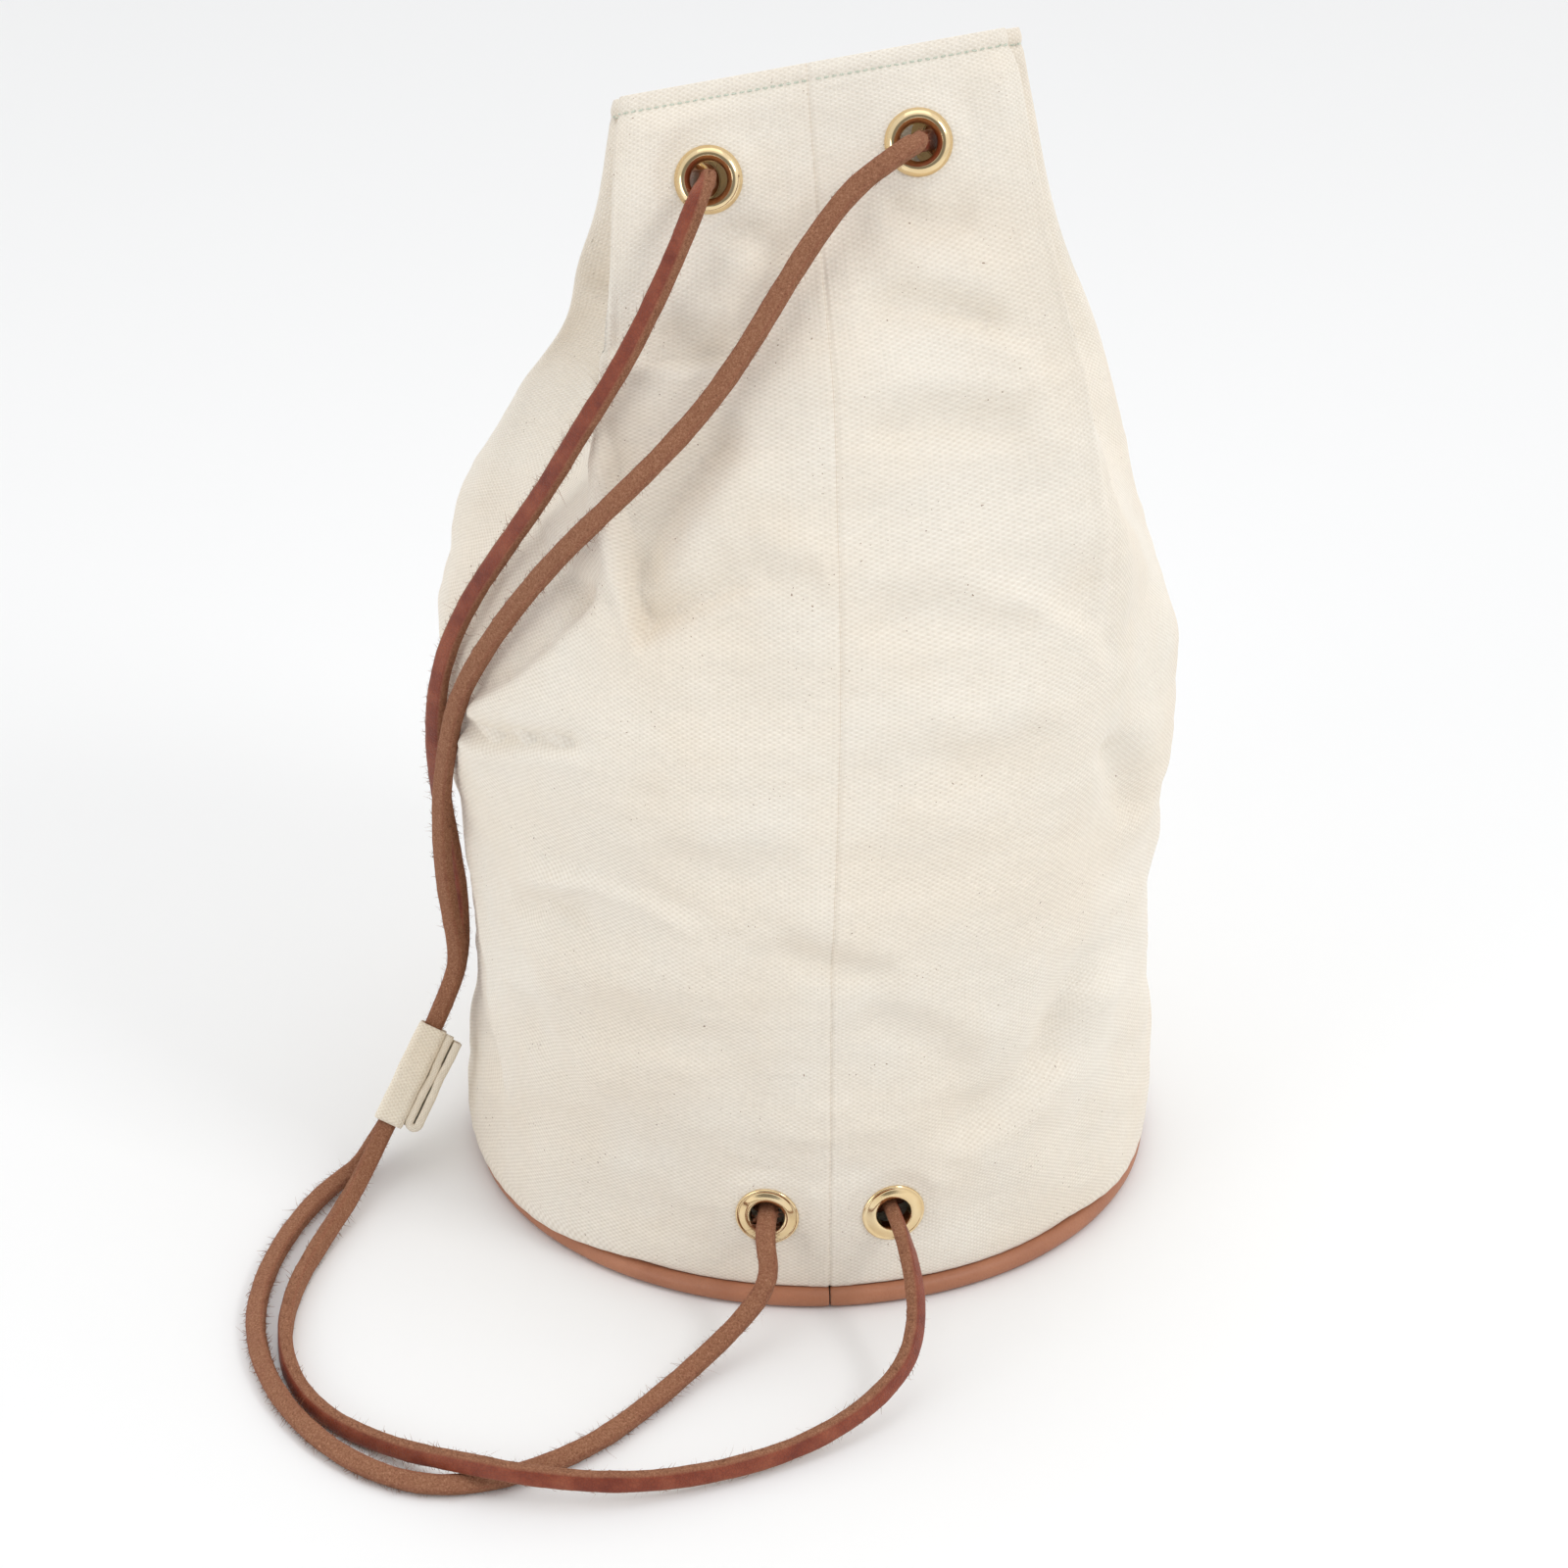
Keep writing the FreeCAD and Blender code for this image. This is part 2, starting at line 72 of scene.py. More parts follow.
def between_points(place, along, points):
    """The points at some distances along a line, whose own points sit at the distances along."""
    points = np.asarray(points)
    return np.stack([np.interp(place, along, points[:, k]) for k in range(3)], -1)


def distances_along(path):
    steps = np.linalg.norm(np.diff(path, axis=0), axis=1)
    return np.concatenate([[0.0], np.cumsum(steps)])


def new_mesh(name, spots, faces, uvs=None):
    """A mesh object from points in millimetres. uvs holds one pair for each corner of each face."""
    mesh = bpy.data.meshes.new(name)
    mesh.from_pydata((np.asarray(spots, float) * MM).tolist(), [], [list(map(int, f)) for f in faces])
    if uvs is not None:
        layer = mesh.uv_layers.new(name="UVMap")
        layer.data.foreach_set("uv", np.asarray(uvs, np.float32).ravel())
    mesh.polygons.foreach_set("use_smooth", [True] * len(mesh.polygons))
    mesh.update()
    piece = bpy.data.objects.new(name, mesh)
    bpy.context.scene.collection.objects.link(piece)
    return piece


def coat(piece, material):
    piece.data.materials.clear()
    piece.data.materials.append(material)


def paint(piece, material):
    coat(piece, material)
    return piece


def grid_faces(rows, columns, closed):
    """Quads of a grid of points, with the columns joined up when the grid is closed."""
    last = columns if closed else columns - 1
    r, c = np.meshgrid(np.arange(rows - 1), np.arange(last), indexing="ij")
    after = (c + 1) % columns
    quads = np.stack([r * columns + c, r * columns + after, (r + 1) * columns + after,
                      (r + 1) * columns + c], -1)
    return quads.reshape(-1, 4)


def grid_uvs(u, v, faces, columns, u_period=None):
    """Face corner UVs in metres for a grid whose columns sit at u and rows at v, both in mm."""
    row = faces // columns
    column = faces % columns
    across = np.asarray(u)[column]
    if u_period:
        wrapped = (column == 0) & (column[:, [1]] == 0)
        across = np.where(wrapped, across + u_period, across)
    up = np.asarray(v)[row] if np.ndim(v) == 1 else np.asarray(v)[row, column]
    return np.stack([across, up], -1) * MM


def unit(vectors):
    return vectors / np.maximum(np.linalg.norm(vectors, axis=-1, keepdims=True), 1e-9)


# ---------------------------------------------------------- node materials

class Shader:
    """A Principled material and short ways to add and join its nodes."""

    def __init__(self, name, **values):
        self.material = bpy.data.materials.new(name)
        self.material.use_nodes = True
        self.tree = self.material.node_tree
        self.surface = self.tree.nodes["Principled BSDF"]
        for socket, value in values.items():
            self.surface.inputs[socket.replace("_", " ")].default_value = value

    def node(self, kind, **settings):
        made = self.tree.nodes.new("ShaderNode" + kind)
        for key, value in settings.items():
            setattr(made, key, value)
        return made

    def link(self, source, target):
        self.tree.links.new(source, target)

    def feed(self, socket, source):
        self.link(source, self.surface.inputs[socket])

    def math(self, operation, a, b=None, c=None):
        made = self.node("Math", operation=operation)
        for socket, value in zip(made.inputs, (a, b, c)):
            if value is None:
                continue
            if isinstance(value, (int, float)):
                socket.default_value = value
            else:
                self.link(value, socket)
        return made.outputs[0]

    def noise(self, vector, scale, detail=2.0, roughness=0.5, distortion=0.0):
        made = self.node("TexNoise")
        made.inputs["Scale"].default_value = scale
        made.inputs["Detail"].default_value = detail
        made.inputs["Roughness"].default_value = roughness
        made.inputs["Distortion"].default_value = distortion
        self.link(vector, made.inputs["Vector"])
        return made.outputs["Fac"]

    def ramp(self, factor, *stops):
        made = self.node("ValToRGB")
        elements = made.color_ramp.elements
        while len(elements) < len(stops):
            elements.new(0.5)
        for element, (place, colour) in zip(elements, stops):
            element.position = place
            element.color = (*colour, 1.0)
        self.link(factor, made.inputs["Fac"])
        return made.outputs["Color"]

    def between(self, factor, low, high):
        """A number that goes from low to high with a factor of 0 to 1."""
        made = self.node("MapRange")
        made.inputs["To Min"].default_value = low
        made.inputs["To Max"].default_value = high
        self.link(factor, made.inputs["Value"])
        return made.outputs["Result"]

    def mix(self, factor, a, b, blend="MIX"):
        made = self.node("Mix", data_type="RGBA", blend_type=blend)
        for name, value in (("Factor", factor), ("A", a), ("B", b)):
            socket = made.inputs[name]
            if isinstance(value, (int, float)):
                socket.default_value = value
            elif isinstance(value, tuple):
                socket.default_value = (*value, 1.0)
            else:
                self.link(value, socket)
        return made.outputs["Result"]

    def stretched(self, vector, scale):
        made = self.node("Mapping")
        made.inputs["Scale"].default_value = scale
        self.link(vector, made.inputs["Vector"])
        return made.outputs["Vector"]

    def bump(self, height, distance):
        made = self.node("Bump")
        made.inputs["Distance"].default_value = distance
        made.inputs["Strength"].default_value = 1.0
        self.link(height, made.inputs["Height"])
        self.feed("Normal", made.outputs["Normal"])


def canvas_material(name, light, dark, pitch=(1.26, 0.75), bump=0.00024, seam_at=None):
    """Undyed canvas: plump threads with painted highlight and shade, slubs, a few brown flecks and
    faint handling marks.
    """
    shader = Shader(name, Roughness=0.92, Specular_IOR_Level=0.2, Sheen_Weight=0.08,
                    Sheen_Roughness=0.5)
    cloth = shader.node("UVMap").outputs["UV"]
    wander = shader.node("TexNoise")
    wander.inputs["Scale"].default_value = 260.0
    wander.inputs["Detail"].default_value = 1.0
    shader.link(cloth, wander.inputs["Vector"])
    centred = shader.node("VectorMath", operation="SUBTRACT")
    centred.inputs[1].default_value = (0.5, 0.5, 0.5)
    shader.link(wander.outputs["Color"], centred.inputs[0])
    shift = shader.node("VectorMath", operation="SCALE")
    shift.inputs["Scale"].default_value = 0.00045
    shader.link(centred.outputs[0], shift.inputs[0])
    moved = shader.node("VectorMath", operation="ADD")
    shader.link(cloth, moved.inputs[0])
    shader.link(shift.outputs[0], moved.inputs[1])
    threads = shader.node("SeparateXYZ")
    shader.link(moved.outputs[0], threads.inputs[0])
    across, along = (
        shader.math("SINE", shader.math("MULTIPLY", threads.outputs[axis], math.pi / (step * MM)))
        for axis, step in zip("XY", pitch))
    across = shader.math("MULTIPLY", across, shader.math("ABSOLUTE", across))
    weave = shader.math("MULTIPLY", across, along)
    raised = shader.math("MULTIPLY_ADD", weave, 0.5, 0.5)
    warp_slub = shader.noise(shader.stretched(cloth, (900.0, 45.0, 1.0)), 1.0, 2.0)
    weft_slub = shader.noise(shader.stretched(cloth, (45.0, 900.0, 1.0)), 1.0, 2.0)
    slubs = shader.math("ADD", warp_slub, weft_slub)
    blotch = shader.noise(cloth, 16.0, 4.0, 0.6)
    mottle = shader.noise(cloth, 420.0, 3.0, 0.7)
    # The raised thread crossings take the light colour and the gaps between them the dark one: painted
    # highlight and painted shade in the weave.
    weave_shading = shader.ramp(raised, (0.26, (0.0, 0.0, 0.0)), (0.74, (1.0, 1.0, 1.0)))
    base = shader.mix(weave_shading, dark, light)
    faded = tuple(0.88 * value for value in light)
    fresh = tuple(min(1.0, 1.04 * value) for value in light)
    uneven = shader.ramp(mottle, (0.3, faded), (0.7, fresh))
    base = shader.mix(shader.between(slubs, 0.0, 0.4), base, uneven)
    warm = shader.ramp(blotch, (0.38, (0.985, 0.96, 0.93)), (0.62, (1.0, 1.0, 1.0)))
    base = shader.mix(1.0, base, warm, "MULTIPLY")
    speck = shader.math("GREATER_THAN", shader.noise(cloth, 950.0, 1.0), 0.735)
    rare = shader.math("GREATER_THAN", shader.noise(cloth, 61.0, 0.0), 0.60)
    fleck = shader.math("MULTIPLY", shader.math("MULTIPLY", speck, rare), 0.75)
    base = shader.mix(fleck, base, (0.20, 0.10, 0.045))
    if seam_at is not None:
        # A thin darker line down the seam: painted shade in the seam's groove.
        from_line = shader.math("ABSOLUTE", shader.math("SUBTRACT", threads.outputs["X"], seam_at))
        seam_groove_shade = shader.math("MULTIPLY", shader.math("LESS_THAN", from_line, 0.00035), 0.55)
        base = shader.mix(seam_groove_shade, base, (0.62, 0.50, 0.38))
    shader.feed("Base Color", base)
    plump = shader.math("ABSOLUTE", weave)
    fuzz = shader.noise(cloth, 2600.0, 2.0, 0.7)
    height = shader.math("MULTIPLY", raised, 0.65)
    for layer, share in ((plump, 0.35), (slubs, 0.30), (fuzz, 0.2)):
        height = shader.math("ADD", height, shader.math("MULTIPLY", layer, share))
    shader.bump(height, bump)
    return shader.material


def thread_material():
    shader = Shader("stitch_thread", Roughness=0.6)
    cloth = shader.node("TexCoord").outputs["Object"]
    twist = shader.noise(cloth, 2400.0, 2.0)
    shader.feed("Base Color", shader.ramp(twist, (0.3, (0.42, 0.47, 0.38)), (0.7, (0.74, 0.79, 0.68))))
    shader.bump(twist, 0.0001)
    return shader.material


def brass_material():
    """Polished brass with faint broad tarnish and hairline wear."""
    shader = Shader("polished_brass", Metallic=1.0)
    place = shader.node("TexCoord").outputs["Object"]
    worn = shader.noise(place, 90.0, 3.0, 0.5)
    fine = shader.noise(shader.stretched(place, (1.0, 1.0, 5.0)), 700.0, 2.0, 0.5)
    colour = shader.ramp(worn, (0.35, (0.78, 0.585, 0.32)), (0.7, (0.88, 0.715, 0.45)))
    shader.feed("Base Color", colour)
    shader.feed("Roughness", shader.between(worn, 0.07, 0.16))
    shader.bump(fine, 0.000006)
    return shader.material


def lace_material():
    """Red-brown lace leather: a smooth worn face, and sides of paler, fibrous suede."""
    shader = Shader("lace_leather", Specular_IOR_Level=0.3)
    place = shader.node("TexCoord").outputs["Object"]
    suede = shader.node("Attribute", attribute_name="suede").outputs["Fac"]
    fibre = shader.noise(place, 1500.0, 5.0, 0.75, 0.6)
    patch = shader.noise(place, 110.0, 4.0, 0.6)
    pore = shader.node("TexVoronoi", feature="DISTANCE_TO_EDGE")
    pore.inputs["Scale"].default_value = 900.0
    shader.link(place, pore.inputs["Vector"])
    crackle = shader.math("MINIMUM", shader.math("MULTIPLY", pore.outputs["Distance"], 6.0), 1.0)
    face = shader.ramp(patch, (0.30, (0.18, 0.032, 0.015)), (0.70, (0.32, 0.075, 0.034)))
    cracks = shader.math("MULTIPLY", shader.math("SUBTRACT", 1.0, crackle), 0.35)
    face = shader.mix(cracks, face, (0.09, 0.02, 0.01))
    rough = shader.ramp(fibre, (0.28, (0.15, 0.055, 0.028)), (0.5, (0.33, 0.145, 0.078)),
                        (0.75, (0.57, 0.30, 0.18)))
    uneven = shader.math("MULTIPLY", shader.math("SUBTRACT", patch, 0.5), 0.7)
    edge = shader.between(shader.math("ADD", suede, uneven), 0.0, 1.0)
    shader.feed("Base Color", shader.mix(edge, face, rough))
    shader.feed("Roughness", shader.between(edge, 0.36, 0.93))
    height = shader.math("ADD", shader.math("MULTIPLY", crackle, 0.25),
                         shader.math("MULTIPLY", shader.math("MULTIPLY", fibre, edge), 1.6))
    shader.bump(height, 0.00032)
    return shader.material


def piping_material():
    shader = Shader("piping_leather", Specular_IOR_Level=0.45)
    place = shader.node("TexCoord").outputs["Object"]
    patch = shader.noise(place, 34.0, 5.0, 0.6)
    grain = shader.node("TexVoronoi", feature="SMOOTH_F1")
    grain.inputs["Scale"].default_value = 1100.0
    shader.link(place, grain.inputs["Vector"])
    fine = shader.noise(place, 1800.0, 3.0, 0.6)
    colour = shader.ramp(patch, (0.3, (0.36, 0.135, 0.066)), (0.7, (0.50, 0.215, 0.115)))
    colour = shader.mix(shader.between(fine, 0.0, 0.35), colour, (0.24, 0.085, 0.045))
    shader.feed("Base Color", colour)
    shader.feed("Roughness", shader.between(patch, 0.38, 0.55))
    height = shader.math("ADD", grain.outputs["Distance"], shader.math("MULTIPLY", fine, 0.4))
    shader.bump(height, 0.00012)
    return shader.material


# The second colour of each weave is painted shade, for the gaps between its threads.
CREAM = (0.93, 0.875, 0.785)
CREAM_SHADE = (0.70, 0.63, 0.53)
canvas = canvas_material("canvas_weave", CREAM, CREAM_SHADE, seam_at=0.0)
ribbed = canvas_material("slider_weave", (0.95, 0.88, 0.75), (0.68, 0.59, 0.46), pitch=(1.0, 0.7))
tape = canvas_material("tape_weave", (0.80, 0.74, 0.63), (0.60, 0.53, 0.42), pitch=(0.7, 0.7))
thread = thread_material()
brass = brass_material()
lace = lace_material()
piping_leather = piping_material()


# --------------------------------------------------------------------- lace
# Three cords: one round the mouth, and a strap at each side of it. The points of each route are
# control points of a smooth line.

def seat_of(node):
    """Centre and outward direction of an eyelet, from the shape of its node."""
    spots = np.array([vertex.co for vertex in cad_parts[node].data.vertices]) / MM
    middle = spots.mean(0)
    _, _, directions = np.linalg.svd(spots - middle, full_matrices=False)
    out = directions[2]
    radius = np.linalg.norm(np.cross(spots - middle, out), axis=1)
    wide = (spots[radius > radius.max() - 0.3] - middle) @ out
    narrow = (spots[radius < radius.min() + 0.3] - middle) @ out
    if wide.mean() < narrow.mean():
        out = -out
        wide = -wide
    return middle + out * wide.min(), out


def out_of(seat, distance):
    return tuple(seat[0] + seat[1] * distance)


mouth_names = ["mouth_%02d" % number for number in range(1, 13)]
mouth_seats = [seat_of(name + "_eyelet") for name in mouth_names]
bottom_left = seat_of("bottom_left_eyelet")
bottom_right = seat_of("bottom_right_eyelet")
STRAIGHT_TOP = np.array((-128.5, -0.2, 60.1))
STRAIGHT_END = np.array((-160.0, -31.2, 5.9))
STRAND_STEP = np.array((-0.037, 0.877, -0.480)) * 3.7
KNOT_REACH = 5.2
LACE_WIDTH = 6.4
LACE_THICK = 4.9
ROUND_UV = 22.0                        # the way round a tube in its UVs
FIBRE_REACH = 3.0                      # from a lace's middle to the roots of its fibres
FIBRE_LENGTH = 1.55
FIBRE_HALF_WIDTH = 0.12
FLOOR_CLEARANCE = 0.3                  # for loose fibres, above the ground

mouth_route = (
    [out_of(seat, 0.0) for seat in mouth_seats[:6]]
    + [out_of(mouth_seats[5], 7.0)]
    + [(-24, 70, 341), (0, 71, 346), (26, 70, 350)]
    + [out_of(mouth_seats[6], 7.0)]
    + [out_of(seat, 0.0) for seat in mouth_seats[6:]]
)
left_route = (
    [out_of(mouth_seats[0], 0.0), out_of(mouth_seats[0], 9.0)]
    + [
        (-39, -61, 370), (-45, -64.5, 356), (-54, -67, 337), (-64, -68, 318),
        (-76, -65, 298), (-88, -55, 274), (-102, -45, 250), (-115, -35, 227),
        (-125, -28, 203), (-129.5, -21, 178), (-130, -13, 153), (-128.3, -3, 129),
        (-126.4, 4, 107), (-125.4, 7.5, 91), (-125.6, 7, 73),
    ]
    + [tuple(STRAIGHT_TOP + STRAND_STEP), tuple(STRAIGHT_END + STRAND_STEP)]
    + [
        (-174, -44, 3.6), (-185, -68, 3.5), (-192, -95, 3.5), (-194, -122, 3.5),
        (-189, -149, 3.5), (-177, -176, 3.5), (-157, -201, 3.5), (-131, -215.5, 3.5),
        (-103, -210, 3.5), (-80, -196, 3.5), (-62, -176, 3.5), (-46, -158, 6.0),
        (-31, -147, 14.5), (-20.5, -139, 25),
    ]
    + [out_of(bottom_left, 11.0), out_of(bottom_left, -KNOT_REACH)]
)
right_route = (
    [out_of(mouth_seats[-1], 0.0), out_of(mouth_seats[-1], 10.5)]
    + [
        (23, -58, 383), (9, -59, 373), (-3, -62, 358), (-14, -67, 342),
        (-25, -72, 325), (-37, -76, 309), (-52, -79, 293), (-68, -79, 277),
        (-83, -71, 259), (-97, -62, 239), (-109.5, -53, 218), (-120, -45, 196),
        (-125, -35, 172), (-128.5, -26, 147), (-129.3, -17, 118), (-128, -10.5, 96),
        (-126.2, -4.5, 77),
    ]
    + [tuple(STRAIGHT_TOP - STRAND_STEP), tuple(STRAIGHT_END - STRAND_STEP + (1.4, 1.3, 2.3))]
    + [
        (-165.5, -56, 6.5), (-174.5, -79, 3.8), (-181.5, -104, 3.5), (-183.5, -131, 3.5),
        (-178.5, -157, 3.5), (-165, -179, 3.5), (-143, -196, 4.5), (-121.5, -212, 10.9),
        (-98, -220.5, 10.9), (-70, -221, 7.5), (-42, -214, 5), (-15, -203, 5),
        (7, -189.5, 9), (21.5, -175, 15.5), (26, -161, 23), (25.8, -148, 30.5),
    ]
    + [out_of(bottom_right, 12.0), out_of(bottom_right, -KNOT_REACH)]
)


def smooth_path(points):
    """Points in mm along the smooth line whose control points these are."""
    curve = bpy.data.curves.new("route", "CURVE")
    curve.dimensions = "3D"
    spline = curve.splines.new("NURBS")
    spline.points.add(len(points) - 1)
    for point, spot in zip(spline.points, points):
        point.co = (*(MM * value for value in spot), 1.0)
    spline.order_u = 3
    spline.use_endpoint_u = True
    spline.resolution_u = 14
    holder = bpy.data.objects.new("route", curve)
    line = bpy.data.meshes.new_from_object(holder)
    path = np.array([vertex.co for vertex in line.vertices]) / MM
    bpy.data.objects.remove(holder)
    bpy.data.curves.remove(curve)
    bpy.data.meshes.remove(line)
    return path


def evenly(path, spacing):
    """The same line with its points a near even distance apart."""
    along = distances_along(path)
    count = max(2, int(round(along[-1] / spacing)) + 1)
    wanted = np.linspace(0.0, along[-1], count)
    return between_points(wanted, along, path), wanted


def carried_frames(path, first_side):
    """Directions along a path, and a side direction carried along it without twisting."""
    ahead = unit(np.gradient(path, axis=0))
    sides = []
    side = np.array(first_side, float)
    for direction in ahead:
        side = side - direction * side.dot(direction)
        side = side / np.linalg.norm(side)
        sides.append(side)
    sides = np.array(sides)
    return ahead, sides, np.cross(ahead, sides)


def rounded_profile(width, thick, corner, per_corner=5):
    """A closed outline of a rounded rectangle, anticlockwise."""
    spots = []
    for quarter, (sx, sy) in enumerate(((1, 1), (-1, 1), (-1, -1), (1, -1))):
        centre = np.array((sx * (0.5 * width - corner), sy * (0.5 * thick - corner)))
        for turn in np.linspace(0.0, 0.25 * TAU, per_corner):
            angle = 0.25 * TAU * quarter + turn
            spots.append(centre + corner * np.array((math.cos(angle), math.sin(angle))))
    return np.array(spots)


def swept(name, path, frames, profile, sizes, uv_along):
    """A tube whose outline follows a path, closed with a flat fan at each end."""
    _, sides, ups = frames
    count = len(profile)
    rings = (path[:, None, :] + sizes[:, None, None] * (
        profile[None, :, [0]] * sides[:, None, :] + profile[None, :, [1]] * ups[:, None, :]))
    faces = grid_faces(len(path), count, closed=True)
    round_uv = np.linspace(0.0, 1.0, count, endpoint=False) * ROUND_UV
    uvs = grid_uvs(round_uv, uv_along, faces, count, u_period=ROUND_UV)
    spots = rings.reshape(-1, 3)
    lists = faces.tolist()
    pairs = uvs.reshape(-1, 2).tolist()
    for ring, flip in ((0, False), (len(path) - 1, True)):
        spots = np.vstack([spots, path[ring]])
        for k in range(count):
            a, b = ring * count + k, ring * count + (k + 1) % count
            lists.append([b, a, len(spots) - 1] if not flip else [a, b, len(spots) - 1])
            pairs += [(0.0, 0.0), (0.001, 0.0), (0.0, 0.001)]
    return new_mesh(name, spots, lists, pairs)


def wobble(along, size, wavelength, seed):
    """A smooth random curve of about the given size, for uneven handmade things."""
    source = np.random.default_rng(seed)
    total = np.zeros_like(along)
    for octave in range(4):
        wave = wavelength / 1.7 ** octave
        total += (size / 1.5 ** octave) * np.sin(TAU * along / wave + source.uniform(0, TAU))
    return total * 0.5


def fuzz_on(name, path, frames, count, seed):
    """Loose suede fibres: thin curved slivers that stand out of a lace's cut sides."""
    source = np.random.default_rng(seed)
    ahead, sides, ups = frames
    spots, faces = [], []
    for _ in range(count):
        k = source.integers(2, len(path) - 2)
        way = 1.0 if source.random() < 0.5 else -1.0
        up_share = source.uniform(-0.75, 0.75)
        root = (path[k] + sides[k] * way * FIBRE_REACH * 1.02
                + ups[k] * up_share * FIBRE_REACH * 0.8)
        lean = unit(sides[k] * way + ahead[k] * source.normal(0, 0.9) + ups[k] * source.normal(0, 0.6))
        bend = unit(source.normal(size=3)) * 0.45
        tall = FIBRE_LENGTH * source.uniform(0.4, 1.5) * (2.0 if source.random() < 0.05 else 1.0)
        width = unit(np.cross(lean, ahead[k])) * FIBRE_HALF_WIDTH
        start = len(spots)
        for share in (0.0, 0.5, 1.0):
            centre = root + lean * tall * share + bend * tall * share ** 2
            taper = 1.0 - 0.8 * share
            spots += [centre - width * taper, centre + width * taper]
        faces += [[a, a + 1, a + 3, a + 2] for a in (start, start + 2)]
    spots = np.array(spots)
    spots[:, 2] = np.maximum(spots[:, 2], FLOOR_CLEARANCE)
    return new_mesh(name, spots, faces)


def faced_frames(path, along, facings):
    """Directions along a path whose smooth face turns towards each facing in turn."""
    ahead = unit(np.gradient(path, axis=0))
    places = [along[-1] * place for place, _ in facings]
    wanted = between_points(along, places, [way for _, way in facings])
    ups = unit(wanted - ahead * (wanted * ahead).sum(1, keepdims=True))
    return ahead, np.cross(ups, ahead), ups


def lace_piece(name, route, facings, seed):
    path, along = evenly(smooth_path(route), 1.6)
    frames = faced_frames(path, along, facings)
    sizes = 1.0 + wobble(along, 0.03, 23.0, seed)
    profile = rounded_profile(LACE_WIDTH, LACE_THICK, 1.7)
    piece = swept(name, path, frames, profile, sizes, along)
    side_share = smoothstep(0.34, 0.47, np.abs(profile[:, 0]) / LACE_WIDTH)
    back_share = smoothstep(0.30, 0.48, -profile[:, 1] / LACE_THICK)
    back_share = np.where(profile[:, 1] < 0.0, back_share, 0.0)
    suede = np.clip(np.maximum(side_share, back_share), 0.0, 1.0)
    set_suede(piece, np.concatenate([np.tile(suede, len(path)), [1.0, 1.0]]))
    return paint(piece, lace), path, frames


def set_suede(piece, values):
    """How fibrous the leather is at each point: 0 on the smooth face, 1 where it is cut."""
    layer = piece.data.attributes.new("suede", "FLOAT", "POINT")
    values = np.broadcast_to(values, len(piece.data.vertices))
    layer.data.foreach_set("value", values.astype(np.float32))


strap_left, left_path, left_frames = lace_piece("lace_left", left_route, (
    (0.0, (-0.7, -0.6, 0.3)), (0.12, (-0.5, -0.8, 0.35)), (0.30, (-0.45, -0.85, 0.3)),
    (0.46, (-0.5, -0.8, 0.1)), (0.52, (-0.7, -0.2, -0.7)), (0.58, (0.2, 0.4, -0.9)),
    (1.0, (0.2, 0.7, -0.6))), 11)
strap_right, right_path, right_frames = lace_piece("lace_right", right_route, (
    (0.0, (0.4, 0.8, -0.4)), (0.38, (0.6, 0.75, -0.3)), (0.50, (0.2, 0.85, -0.5)),
    (0.58, (-0.75, 0.3, -0.2)), (0.66, (-0.6, -0.8, 0.15)), (0.78, (0.0, -1.0, 0.15)),
    (0.92, (0.6, -0.8, 0.2)), (1.0, (0.7, -0.7, 0.1))), 23)
lace_mouth, mouth_path, _ = lace_piece("lace_mouth", mouth_route, (
    (0.0, (0.0, -1.0, 0.3)), (0.25, (-1.0, 0.1, 0.3)), (0.5, (0.0, 1.0, 0.3)),
    (0.75, (1.0, 0.1, 0.3)), (1.0, (0.1, -1.0, 0.3))), 37)
for piece, node in ((strap_left, "strap_left"), (strap_right, "strap_right"),
                    (lace_mouth, "mouth_lace")):
    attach(piece, "bag")
    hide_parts(node)


# --------------------------------------------------------------- canvas wall
# The wall is a stack of closed outlines with twelve points each, clockwise from above:
# seam, front left crease, then valleys and ridges round to the front right crease.

POINTS = 12
CLOTH_WIDTH = 754.0                    # the cloth's way round, from seam to seam
SIDE_CLOTH = CLOTH_WIDTH / POINTS
CANVAS_THICK = 1.1
HEM_DEPTH = 44.0
HEM_ROW = 5.2                          # from the rim down to the row of stitches
HEM_BACK = 2.3                         # from the wall's outer face to the hem's inner one
OUTER_HOLE = 7.6                       # radius punched for an eyelet, through the outer face
INNER_HOLE = 8.6                       # and through every layer behind it
MOUTH = np.array([
    (-4, -33), (-62, -31), (-14, -5), (-64, 13), (-14, 25), (-56, 50),
    (0, 50), (56, 50), (14, 25), (67, 13), (14, -5), (57.4, -31)], float)
BAND = MOUTH * (1.12, 1.31) + (4.0, -9.8)
BAND[3] = (-75.5, 7.2)


def circle_points(radius):
    angles = -0.25 * TAU - TAU / POINTS * np.arange(POINTS)
    return radius * np.stack([np.cos(angles), np.sin(angles)], -1)


